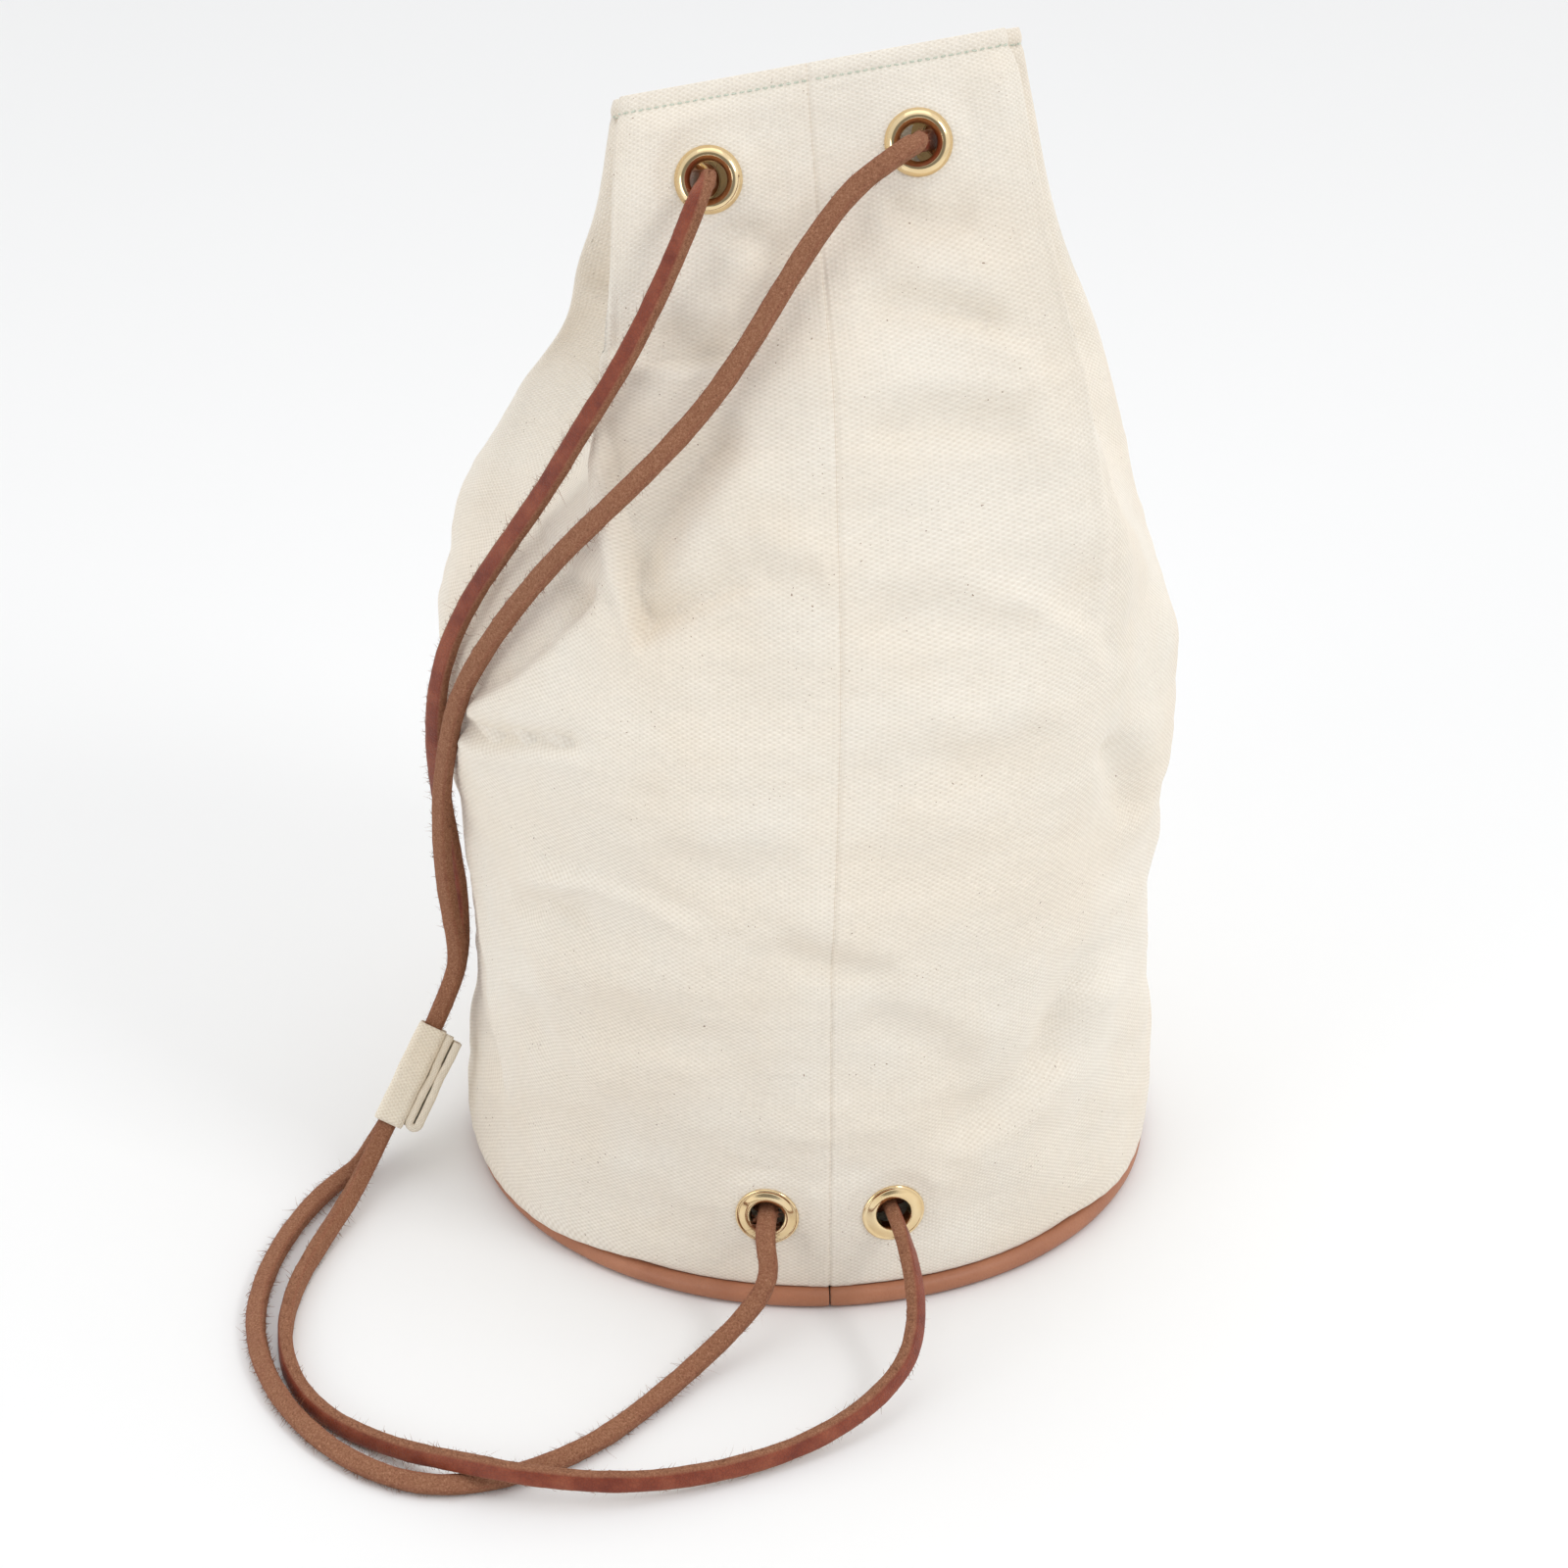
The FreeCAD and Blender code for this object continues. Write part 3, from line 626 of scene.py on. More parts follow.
OUTLINES = [
    # height, points, how rounded the corners are, slope along x, slope along y
    (4.6, circle_points(114.6), 0.49, 0.0, 0.0),
    (5.8, circle_points(115.4), 0.49, 0.0, 0.0),
    (7.6, circle_points(118.6), 0.49, 0.0, 0.0),
    (14.0, circle_points(119.4), 0.49, 0.0, 0.0),
    (60.0, circle_points(121.0), 0.49, 0.0, 0.0),
    (120.0, circle_points(121.5), 0.49, 0.0, 0.0),
    (190.0, np.array([(3, -108), (-68, -100), (-112, -52), (-126, 11), (-106, 66), (-62, 107),
                      (0, 119), (62, 106), (106, 62), (124, -1), (112, -52), (80, -92)], float),
     0.48, 0.0, 0.0),
    (242.0, np.array([(4, -95), (-67, -81), (-99, -42), (-120, 11), (-104, 58), (-66, 100),
                      (0, 108), (66, 100), (102, 56), (113, 0), (105, -42), (90, -72)], float),
     0.34, 0.0, 0.0),
    (300.0, np.array([(3, -76), (-71, -58), (-56, -24), (-99, 12), (-58, 42), (-66, 76),
                      (0, 76), (68, 74), (62, 38), (97, 4), (64, -26), (83, -59)], float),
     0.20, 0.08, -0.12),
    (351.0, BAND, 0.15, 0.168, -0.30),
    (404.0, MOUTH, 0.14, 0.168, -0.30),
]


def rounding_corners(points, turn):
    """Control points whose roundings pass through the given points."""
    found = points.copy()
    for _ in range(24):
        beside = np.roll(found, 1, 0) + np.roll(found, -1, 0)
        found = (points - 0.25 * turn * beside) / (1.0 - 0.5 * turn)
    return found


def lifted(points, height, slope_x, slope_y, seam):
    rise = slope_x * (points[:, 0] - seam[0]) + slope_y * (points[:, 1] - seam[1])
    return np.column_stack([points, height + rise])


def steady_curve(x, y, wanted):
    """Monotone cubic curves through (x, y): y may hold several columns."""
    slopes = np.diff(y, axis=0) / np.diff(x)[:, None]
    tangents = np.zeros_like(y)
    tangents[1:-1] = np.where(slopes[:-1] * slopes[1:] > 0.0,
                              2.0 * slopes[:-1] * slopes[1:] / (slopes[:-1] + slopes[1:] + 1e-12), 0.0)
    tangents[0], tangents[-1] = slopes[0], slopes[-1]
    k = np.clip(np.searchsorted(x, wanted, side="right") - 1, 0, len(x) - 2)
    step = (x[k + 1] - x[k])[:, None]
    t = ((wanted - x[k]) / (x[k + 1] - x[k]))[:, None]
    return ((1 + 2 * t) * (1 - t) ** 2 * y[k] + t * (1 - t) ** 2 * step * tangents[k]
            + t * t * (3 - 2 * t) * y[k + 1] + t * t * (t - 1) * step * tangents[k + 1])


level_heights = np.array([outline[0] for outline in OUTLINES])
level_corners = np.array([
    lifted(rounding_corners(points, turn), height, slope_x, slope_y, points[0]).ravel()
    for height, points, turn, slope_x, slope_y in OUTLINES])
level_turns = np.array([[outline[2]] for outline in OUTLINES])


def wall_surface(columns, heights):
    """Points of the wall: rows at nominal heights, columns at cloth places of 0 to 12."""
    corners = steady_curve(level_heights, level_corners, heights).reshape(-1, POINTS, 3)
    turn = steady_curve(level_heights, level_turns, heights)[:, :, None]
    side = np.floor(columns).astype(int) % POINTS
    share = (columns - np.floor(columns))[None, :, None]
    here = corners[:, side]
    before = corners[:, (side - 1) % POINTS]
    after = corners[:, (side + 1) % POINTS]
    beyond = corners[:, (side + 2) % POINTS]
    straight = here + (after - here) * share

    def rounding(a, middle, b, offset):
        t = np.clip((offset + turn) / (2.0 * turn), 0.0, 1.0)
        low = middle + (a - middle) * turn
        high = middle + (b - middle) * turn
        return (1 - t) ** 2 * low + 2 * t * (1 - t) * middle + t * t * high

    surface = np.where(share < turn, rounding(before, here, after, share), straight)
    return np.where(share > 1.0 - turn, rounding(here, after, beyond, share - 1.0), surface)


def normals_of(surface):
    across = np.roll(surface, -1, 1) - np.roll(surface, 1, 1)
    up = np.gradient(surface, axis=0)
    return unit(np.cross(up, across))


seam_columns = np.arange(-7.0, 7.01, 0.4) / SIDE_CLOTH
open_columns = np.arange(7.9, SIDE_CLOTH * POINTS - 7.5, 1.75) / SIDE_CLOTH
columns = np.sort(np.concatenate([seam_columns % POINTS, open_columns]))
heights = np.unique(np.round(np.concatenate([
    [4.6, 5.2, 5.8, 6.6], np.arange(7.6, 14.0, 1.0), np.arange(14.0, 392.0, 1.75),
    np.arange(392.0, 404.01, 0.75)]), 3))
surface = wall_surface(columns, heights)
normals = normals_of(surface)
cloth_u = columns * SIDE_CLOTH
row_steps = np.linalg.norm(np.diff(surface, axis=0), axis=2).mean(1)
cloth_v = np.concatenate([[0.0], np.cumsum(row_steps)])
seam_u = np.where(cloth_u > 0.5 * CLOTH_WIDTH, cloth_u - CLOTH_WIDTH, cloth_u)
from_seam = seam_u[None, :]
below_rim = (cloth_v[-1] - cloth_v)[:, None]


def waves(spots, wavelength, size, seed, count=14):
    """A smooth random field: plane waves of about one wavelength, laid over each other."""
    source = np.random.default_rng(seed)
    total = np.zeros(spots.shape[:-1])
    for _ in range(count):
        direction = unit(source.normal(size=3))
        wave = wavelength * source.uniform(0.7, 1.5)
        total += np.sin(spots @ direction * (TAU / wave) + source.uniform(0, TAU))
    return size * total / math.sqrt(0.5 * count)


def beside_line(spots, line):
    """Distance from a line of (x, z) seen from the front, its side, and the share of the way along."""
    x, z = spots[..., 0], spots[..., 2]
    line = np.array(line, float)
    nearest = np.full(x.shape, 1e9)
    signed = np.zeros(x.shape)
    share = np.zeros(x.shape)
    runs = np.linalg.norm(np.diff(line, axis=0), axis=1)
    starts = np.concatenate([[0.0], np.cumsum(runs)])
    for k in range(len(line) - 1):
        ahead = (line[k + 1] - line[k]) / runs[k]
        dx, dz = x - line[k, 0], z - line[k, 1]
        along = np.clip(dx * ahead[0] + dz * ahead[1], 0.0, runs[k])
        off_x, off_z = dx - along * ahead[0], dz - along * ahead[1]
        distance = np.hypot(off_x, off_z)
        closer = distance < nearest
        nearest = np.where(closer, distance, nearest)
        signed = np.where(closer, np.sign(ahead[0] * off_z - ahead[1] * off_x) * distance, signed)
        share = np.where(closer, (starts[k] + along) / starts[-1], share)
    return nearest, signed, share


def fold(spots, line, depth, width, ridge, shift):
    """A soft valley along a line, and a ridge beside it."""
    nearest, signed, share = beside_line(spots, line)
    fade = smoothstep(0.0, 0.22, share) * smoothstep(1.0, 0.78, share)
    valley = -depth * bell(nearest, width)
    beside = ridge * bell(signed - shift, 1.3 * width) * bell(nearest, 4.0 * width)
    return (valley + beside) * fade


def tuck_beside(spots, line, depth, sharp, soft):
    """A crisp crease: the cloth on the line's left drops at once and comes back slowly."""
    _, signed, share = beside_line(spots, line)
    fade = smoothstep(0.0, 0.25, share) * smoothstep(1.0, 0.80, share)
    past = np.clip(signed, 0.0, None)
    dropped = -depth * smoothstep(0.0, sharp, past) * bell(past, soft)
    crest = 0.22 * depth * bell(signed + 1.2, 2.2)
    return (dropped + crest) * fade


front = smoothstep(-0.05, 0.35, -normals[..., 1])
FOLDS = [
    # line of (x, z), depth, width, ridge beside it, where that ridge is
    ([(-26, 304), (-40, 288), (-50, 276), (-58, 264), (-64, 246)], 3.6, 8.0, 2.0, 12.0),
    ([(-124, 180), (-112, 186), (-96, 195), (-76, 202)], 3.4, 3.4, 1.6, -6.0),
    ([(-95, 250), (-84, 246), (-76, 240)], 2.2, 5.0, 1.0, 6.0),
    ([(99, 116), (89, 110), (81, 103), (75, 83), (57, 71), (31, 63)], 3.0, 9.0, 1.8, 12.0),
    ([(93, 196), (101, 178), (108, 150)], 3.4, 5.5, 1.8, 8.0),
    ([(-105, 126), (-91, 138), (-76, 141)], 2.2, 5.0, 1.4, 7.0),
    ([(-22, 142), (0, 133), (24, 126)], 1.5, 6.0, 0.8, 8.0),
    ([(7, 118), (33, 103), (50, 84)], 1.6, 8.0, 0.9, 9.0),
    ([(9, 340), (33, 335), (61, 328)], 2.0, 6.0, 1.1, 8.0),
    ([(11, 300), (36, 302), (70, 295)], 2.2, 7.0, 1.4, 9.0),
    ([(7, 241), (36, 243), (76, 230)], 1.7, 8.0, 1.0, 10.0),
    ([(-34, 356), (-24, 355), (-10, 347)], 2.0, 5.0, 1.0, -7.0),
    ([(16, 365), (34, 358), (50, 361)], 2.0, 5.0, 1.0, -7.0),
    ([(-30, 262), (-12, 256), (0, 258)], 1.8, 6.5, 1.0, 8.0),
    ([(-55, 330), (-40, 322), (-22, 318)], 1.8, 7.0, 1.0, 8.0),
    ([(20, 205), (45, 196), (80, 204)], 1.5, 9.0, 0.9, 10.0),
    ([(-60, 170), (-30, 164), (-8, 170)], 1.5, 9.0, 0.9, 10.0),
    ([(-100, 100), (-92, 80), (-80, 64)], 1.7, 8.0, 1.0, 9.0),
    ([(-98, 96), (-60, 104), (-20, 98)], 1.2, 10.0, 0.8, 12.0),
]
TUCKS = [
    # line of (x, z), depth, width of the drop, width of the way back
    ([(-73, 300), (-72, 286), (-71, 266), (-69, 250), (-61, 226)], 8.5, 4.8, 24.0),
    ([(-70, 226), (-58, 234), (-42, 242), (-20, 252)], 6.2, 7.0, 18.0),
    ([(-130, 174), (-104, 206), (-90, 222), (-79, 237), (-69, 256)], 4.6, 4.0, 26.0),
    ([(-78, 320), (-60, 315), (-44, 314), (-22, 320)], 4.2, 4.2, 18.0),
    ([(-104, 38), (-112, 68), (-115, 88), (-120, 114)], 4.4, 4.5, 14.0),
    ([(24, 332), (44, 326), (62, 318), (72, 304)], 3.2, 7.0, 20.0),
    ([(40, 250), (62, 243), (84, 228), (94, 210)], 3.2, 8.0, 24.0),
    ([(-100, 142), (-82, 150), (-60, 148), (-38, 140)], 3.0, 7.0, 20.0),
]
BROAD_FOLD = 6.0
BROAD_GAIN = 2.3
NARROW_GAIN = 1.6
height_of = surface[..., 2]
relief = np.zeros(surface.shape[:2])
for line, depth, width, ridge, shift in FOLDS:
    stronger = BROAD_GAIN if width >= BROAD_FOLD else NARROW_GAIN
    relief += front * fold(surface, line, stronger * depth, width, stronger * ridge, shift)
for line, depth, sharp, soft in TUCKS:
    relief += front * tuck_beside(surface, line, depth, sharp, soft)
# Long soft waves all over, calmer at the foot, at the rim and along the gathered ridges.
calm = smoothstep(6.0, 30.0, height_of) * smoothstep(2.0, 14.0, below_rim)
for crease in range(1, POINTS, 2):
    near_crease = bell(cloth_u - crease * SIDE_CLOTH, 8.0)[None, :]
    calm = calm * (1.0 - 0.9 * near_crease * smoothstep(250.0, 300.0, height_of))
relief += calm * waves(surface, 95.0, 1.1, 3)
relief += calm * waves(surface, 38.0, 0.75, 5)
relief += calm * waves(surface * (1.0, 1.0, 1.8), 17.0, 0.13, 8)
# The two front creases, pressed into a narrow ridge down to where the folds open out.
for crease, lowest in ((1, 235.0), (11, 215.0)):
    narrow = bell(cloth_u - crease * SIDE_CLOTH, 2.4)[None, :]
    relief += (1.4 * narrow * smoothstep(lowest, lowest + 30.0, height_of)
               * smoothstep(3.0, 14.0, below_rim))
# The seam: one side's folded edge stands proud of a narrow groove, with the turnings behind it.
relief += 0.16 * bell(from_seam - 1.3, 1.0) - 0.60 * bell(from_seam + 0.1, 0.45)
relief += 0.25 * smoothstep(9.0, 6.5, np.abs(from_seam))
# The hem: a plump turned edge, drawn in by the row of stitches under it.
pucker = 1.0 + (0.45 * np.sin(TAU * cloth_u[None, :] / 7.3)
                * np.sin(TAU * cloth_u[None, :] / 31.0 + 1.0))
relief += 0.30 * bell(below_rim - 2.4, 1.8) - 0.50 * pucker * bell(below_rim - HEM_ROW, 1.1)
# Small tucks where the wall is sewn to the piped base.
tuck = np.sin(TAU * cloth_u[None, :] / 9.3 + 2.0 * np.sin(cloth_u / 37.0)[None, :])
relief += 0.10 * bell(height_of - 12.0, 4.0) * tuck
surface = surface + normals * relief[..., None]
# The left fold's edge runs out towards the shoulder.
bulge = 3.4 * bell(surface[..., 2] - 326.0, 15.0) * bell(cloth_u - 3 * SIDE_CLOTH, 24.0)[None, :]
surface = surface - bulge[..., None] * np.array((1.0, 0.0, 0.0))

# At both sides the cloth sags out over the piping and nearly hides it.
bearing = np.degrees(np.arctan2(surface[..., 1], surface[..., 0])) % 360.0
sag_left = smoothstep(250.0, 216.0, bearing) * smoothstep(140.0, 170.0, bearing)
sag_right = np.maximum(smoothstep(306.0, 334.0, bearing), smoothstep(35.0, 10.0, bearing))
sag = np.maximum(sag_left, 0.75 * sag_right)
above_foot = np.clip(heights - 7.6, 0.0, None)[:, None]
outwards = 5.4 * (1.0 - bell(above_foot, 2.2)) * bell(above_foot, 30.0)
drop = 4.2 * bell(above_foot - 2.5, 1.7) * (above_foot > 0.0)
away = unit(surface * (1.0, 1.0, 0.0))
upright = np.array((0.0, 0.0, 1.0))
surface = surface + away * (outwards * sag)[..., None] - (drop * sag)[..., None] * upright


def about_seat(spots, centre, out):
    """How high each point is above an eyelet's seat, and how far from the seat's axis."""
    height = (spots - centre) @ out
    return height, np.linalg.norm(spots - centre - height[..., None] * out, axis=-1)


def flattened_at(spots, seats):
    """The cloth lies flat in a small round under each eyelet."""
    spots = spots.copy()
    for centre, out in seats:
        height, radius = about_seat(spots, centre, out)
        share = smoothstep(19.0, 11.5, radius) * (np.abs(height) < 7.0)
        spots = spots - out * ((height - 0.15) * share)[..., None]
    return spots


seats = mouth_seats + [bottom_left, bottom_right]
surface = flattened_at(surface, seats)


INSIDE_EYELET = 4                      # points of a strap's path that are inside its eyelet
LEFT_ON_BAG = 260                      # points of each strap's path from the mouth to the floor
RIGHT_ON_BAG = 300
LACE_GAP = 4.1                         # from a lace's middle to the cloth


def clear_of_laces(spots, paths, gap):
    """Cloth gives way where a lace lies against it."""
    lace_points = np.vstack([path[INSIDE_EYELET:] for path in paths])
    spots = spots.copy()
    out = normals_of(spots)
    for _ in range(2):
        low = spots.reshape(-1, 3)
        push = np.zeros(len(low))
        for block in np.array_split(lace_points, 24):
            box_low, box_high = block.min(0) - gap - 1.0, block.max(0) + gap + 1.0
            near = np.where(((low > box_low) & (low < box_high)).all(1))[0]
            if len(near) == 0:
                continue
            away = np.linalg.norm(low[near][:, None] - block[None], axis=2).min(1)
            push[near] = np.maximum(push[near], np.clip(gap - away, 0.0, None))
        spots = spots - out * push.reshape(spots.shape[:2])[..., None] * 0.9
    return spots


beside_bag = [left_path[:LEFT_ON_BAG], right_path[:RIGHT_ON_BAG]]
surface = clear_of_laces(surface, beside_bag, LACE_GAP)
normals = normals_of(surface)


def pierced(spots, faces, seats, radius):
    """The faces that are left once the cloth is punched for its eyelets."""
    centres = spots[faces].mean(1)
    keep = np.ones(len(faces), bool)
    for centre, out in seats:
        height, away = about_seat(centres, centre, out)
        keep &= ~((away < radius) & (np.abs(height) < 5.0))
    return keep


def rim_rows(edge, out, up, thick, reach):
    """The cloth's edge rolled over inwards, and a little way down inside."""
    rows = []
    radius = 0.5 * thick
    for angle in np.radians((35.0, 70.0, 110.0, 145.0, 180.0)):
        rows.append(edge - out * radius * (1.0 - math.cos(angle)) + up * radius * math.sin(angle))
    for drop in (0.4 * reach, reach):
        rows.append(edge - out * thick - up * drop)
    return rows


up = unit(surface[-1] - surface[-4])
over = rim_rows(surface[-1], normals[-1], up, CANVAS_THICK, 2.5)
outer = np.vstack([surface, np.array(over)])
outer_v = np.concatenate([cloth_v, cloth_v[-1] + np.array((0.4, 0.8, 1.2, 1.6, 2.0, 3.0, 4.5))])
faces = grid_faces(len(outer), len(columns), closed=True)[:, ::-1]
keep = pierced(outer.reshape(-1, 3), faces, seats, OUTER_HOLE)
uvs = grid_uvs(cloth_u, outer_v, faces, len(columns), u_period=CLOTH_WIDTH)[keep]
faces = faces[keep]
last_rows = np.arange(len(heights) - 8, len(heights))
inner_rows = np.unique(np.concatenate([np.arange(0, len(heights) - 8, 3), last_rows]))
inner_columns = np.arange(0, len(columns), 2)
inner = (surface - normals * CANVAS_THICK)[inner_rows][:, inner_columns]
inner_faces = grid_faces(len(inner_rows), len(inner_columns), closed=True)
keep = pierced(inner.reshape(-1, 3), inner_faces, seats, INNER_HOLE)
inner_uvs = grid_uvs(cloth_u[inner_columns], cloth_v[inner_rows], inner_faces,
                     len(inner_columns), u_period=CLOTH_WIDTH)[keep]
inner_faces = inner_faces[keep]
skin = new_mesh("canvas_skin", outer.reshape(-1, 3), faces, uvs.reshape(-1, 2))
skin_inside = new_mesh("canvas_skin_inside", inner.reshape(-1, 3), inner_faces,
                       inner_uvs.reshape(-1, 2))
for piece in (skin, skin_inside):
    paint(piece, canvas)
    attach(piece, "bag")
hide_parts("canvas_body")


def lining_strip(name, spots, out, u, v, near, far, closed, holes=()):
    """A strip of cloth inside the wall, far behind its outer face, its edges turned back to near."""
    count = spots.shape[1]
    soft_edge = 0.5 * (near + far)
    loop = np.concatenate([
        spots[:1] - out[:1] * near, spots[:1] - out[:1] * soft_edge, spots - out * far,
        spots[-1:] - out[-1:] * soft_edge, spots[-1:] - out[-1:] * near])
    around_v = np.concatenate([[v[0] - 1.0, v[0] - 0.5], v, [v[-1] + 0.5, v[-1] + 1.0]])
    shell_faces = grid_faces(len(loop), count, closed)
    keep = pierced(loop.reshape(-1, 3), shell_faces, holes, INNER_HOLE)
    period = CLOTH_WIDTH if closed else None
    shell_uvs = grid_uvs(u, around_v, shell_faces, count, u_period=period)[keep]
    return new_mesh(name, loop.reshape(-1, 3), shell_faces[keep], shell_uvs.reshape(-1, 2))


hem_rows = np.where((below_rim[:, 0] < HEM_DEPTH) & (below_rim[:, 0] > 0.9))[0]
hem_columns = np.arange(0, len(columns), 2)
hem = lining_strip("mouth_hem", surface[hem_rows][:, hem_columns], normals[hem_rows][:, hem_columns],
                   cloth_u[hem_columns], cloth_v[hem_rows], CANVAS_THICK + 0.15, HEM_BACK, True,
                   mouth_seats)
paint(hem, canvas)
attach(hem, "bag")
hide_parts("mouth_facing")

tape_rows = np.where((heights > 11.0) & (heights < 352.0))[0][::2]
tape_columns = np.concatenate([np.where(cloth_u > 746.5)[0], np.where(cloth_u < 7.5)[0]])[::3]
tape_u = seam_u[tape_columns]
binding = lining_strip("seam_tape", surface[tape_rows][:, tape_columns],
                       normals[tape_rows][:, tape_columns], tape_u, cloth_v[tape_rows], 1.9, 2.8,
                       False)
paint(binding, tape)
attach(binding, "bag")
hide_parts("seam_binding")


# ---------------------------------------------------------------- stitches

def stitch_row(name, path, outs, pitch, length, radius, seed):
    """Short plump stitches along a closed path, each dipping into the cloth at both ends."""
    source = np.random.default_rng(seed)
    closed = np.vstack([path, path[:1]])
    along = distances_along(closed)
    out_loop = np.vstack([outs, outs[:1]])
    count = int(along[-1] / pitch)
    spots, faces = [], []
    for k in range(count):
        centre = (k + 0.5) * pitch
        ring_starts = []
        tilt = source.normal(0.0, 0.10)
        plump = radius * source.uniform(0.85, 1.15)
        for share in (-0.5, -0.38, -0.15, 0.15, 0.38, 0.5):
            place = centre + share * length
            spot = between_points(place % along[-1], along, closed)
            out = unit(between_points(place % along[-1], along, out_loop))
            ahead = unit(between_points((place + 0.4) % along[-1], along, closed) - spot)
            across = np.cross(out, ahead)
            thick = plump * math.sqrt(max(0.02, 1.0 - (2.0 * share) ** 2 * 0.9))
            lift = 0.18 - 1.3 * plump * (2.0 * share) ** 4
            centre_spot = spot + out * lift + across * tilt * share * length
            ring_starts.append(len(spots))
            for corner in range(6):
                angle = TAU * corner / 6
                spots.append(
                    centre_spot + thick * (math.cos(angle) * across + math.sin(angle) * out))
        for a, b in zip(ring_starts, ring_starts[1:]):
            for corner in range(6):
                after = (corner + 1) % 6
                faces.append([a + corner, a + after, b + after, b + corner])
    return new_mesh(name, spots, faces)


row = int(np.argmin(np.abs(below_rim[:, 0] - HEM_ROW)))
outside_row = stitch_row("hem_stitches", surface[row], normals[row], 2.45, 1.8, 0.34, 41)
inside_row = stitch_row("hem_stitches_inside", surface[row][::-1] - normals[row][::-1] * HEM_BACK,
                        -normals[row][::-1], 2.45, 1.85, 0.26, 43)
for piece in (outside_row, inside_row):
    paint(piece, thread)
    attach(piece, "bag")


# ------------------------------------------------------------------ eyelets

def sides_of(out):
    """Two directions across a third."""
    side = unit(np.cross(out, (0.0, 0.0, 1.0)))
    return side, np.cross(out, side)


def turned(name, seat, profile, segments=80):
    """A ring turned about a seat's axis from a profile of (radius, height)."""
    centre, out = seat
    side, other = sides_of(out)
    fine = np.array(profile, float)
    for _ in range(2):
        cut = [fine[0]]
        for a, b in zip(fine, fine[1:]):
            cut += [0.75 * a + 0.25 * b, 0.25 * a + 0.75 * b]
        fine = np.array(cut + [fine[-1]])
    angles = TAU * np.arange(segments) / segments
    ring = side[None] * np.cos(angles)[:, None] + other[None] * np.sin(angles)[:, None]
    spots = centre + fine[:, None, [0]] * ring[None] + fine[:, None, [1]] * out
    faces = grid_faces(len(fine), segments, closed=True)
    return new_mesh(name, spots.reshape(-1, 3), faces)


DOMED = [
    (6.3, -3.6), (5.85, -3.6), (5.8, -2.0), (5.8, 0.3), (6.0, 1.4), (6.8, 2.35), (8.0, 2.75),
    (9.2, 2.3), (10.2, 1.2), (10.7, 0.35), (10.6, 0.0), (10.1, -0.15), (9.2, 0.3), (7.5, 0.3),
    (6.4, 0.0), (6.3, -3.6)]
ROLLED = [
    (6.3, -3.6), (5.85, -3.6), (5.8, -2.0), (5.8, 0.5), (6.0, 1.15), (6.7, 1.5), (7.6, 1.45),
    (8.8, 1.05), (9.5, 0.8), (9.8, 0.95), (10.3, 1.05), (10.7, 0.65), (10.65, 0.1), (10.1, -0.15),
    (8.0, 0.2), (6.4, 0.0), (6.3, -3.6)]
for name, seat in zip(mouth_names + ["bottom_left", "bottom_right"], seats):
    ring = turned(name + "_ring", seat, DOMED if name in mouth_names else ROLLED)
    paint(ring, brass)
    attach(ring, "bag")
    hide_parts(name + "_eyelet")
    coat(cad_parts[name + "_washer"], brass)


# ------------------------------------------------------------------ piping

RING = 118.65
RING_HEIGHT = 3.5
RING_POINTS = 900
turned_by = np.radians(np.linspace(0.12, 359.88, RING_POINTS))
ring_along = turned_by * RING
ring_x, ring_y = np.cos(-0.25 * TAU - turned_by), np.sin(-0.25 * TAU - turned_by)
flat = np.zeros(RING_POINTS)
ring_path = np.column_stack([RING * ring_x, RING * ring_y, flat + RING_HEIGHT])
ring_out = np.column_stack([ring_x, ring_y, flat])
ring_ahead = np.column_stack([ring_y, -ring_x, flat])
ring_frames = (ring_ahead, ring_out, np.cross(ring_ahead, ring_out))
around = TAU * np.arange(28) / 28
round_profile = 3.45 * np.column_stack([np.cos(around), np.sin(around)])
ring_sizes = 1.0 + 0.012 * np.sin(ring_along / 17.0) + 0.008 * np.sin(ring_along / 5.3)
ends = 1.0 - 0.10 * np.exp(-ring_along) - 0.10 * np.exp(-(ring_along[-1] - ring_along))
ring_sizes = ring_sizes * ends
piping = swept("piping_cover", ring_path, ring_frames, round_profile, ring_sizes, ring_along)
paint(piping, piping_leather)
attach(piping, "bag")
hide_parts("piping")


# -------------------------------------------------------------------- base

def disc(name, radius, low, high, ripple, seed, material):
    """A round of cloth: a slightly rippled upper face and a soft edge."""
    edge_radii = [radius - 0.8, radius - 0.2, radius]
    radii = np.concatenate([np.linspace(0.5, radius - 2.0, 60), edge_radii])
    angles = TAU * np.arange(180) / 180
    x, y = radii[:, None] * np.cos(angles), radii[:, None] * np.sin(angles)
    flat = np.stack([x, y, np.zeros_like(x)], -1)
    lift = waves(flat, 45.0, ripple, seed) * smoothstep(radius, radius - 25.0, radii)[:, None]
    edge = np.where(radii > radius - 1.0, (radii - radius + 1.0) ** 2, 0.0)[:, None]
    edge = edge * 0.35 * (high - low)
    top = flat + np.stack([0 * x, 0 * y, high - np.abs(lift) - edge], -1)
    base = flat + np.stack([0 * x, 0 * y, low + edge + 0 * x], -1)
    loop = np.concatenate([top, base[::-1]])
    faces = grid_faces(len(loop), 180, closed=True)[:, ::-1]
    spots = loop.reshape(-1, 3)
    piece = new_mesh(name, spots, faces, (spots[faces][..., :2] * MM).reshape(-1, 2))
    paint(piece, material)
    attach(piece, "bag")
    return piece


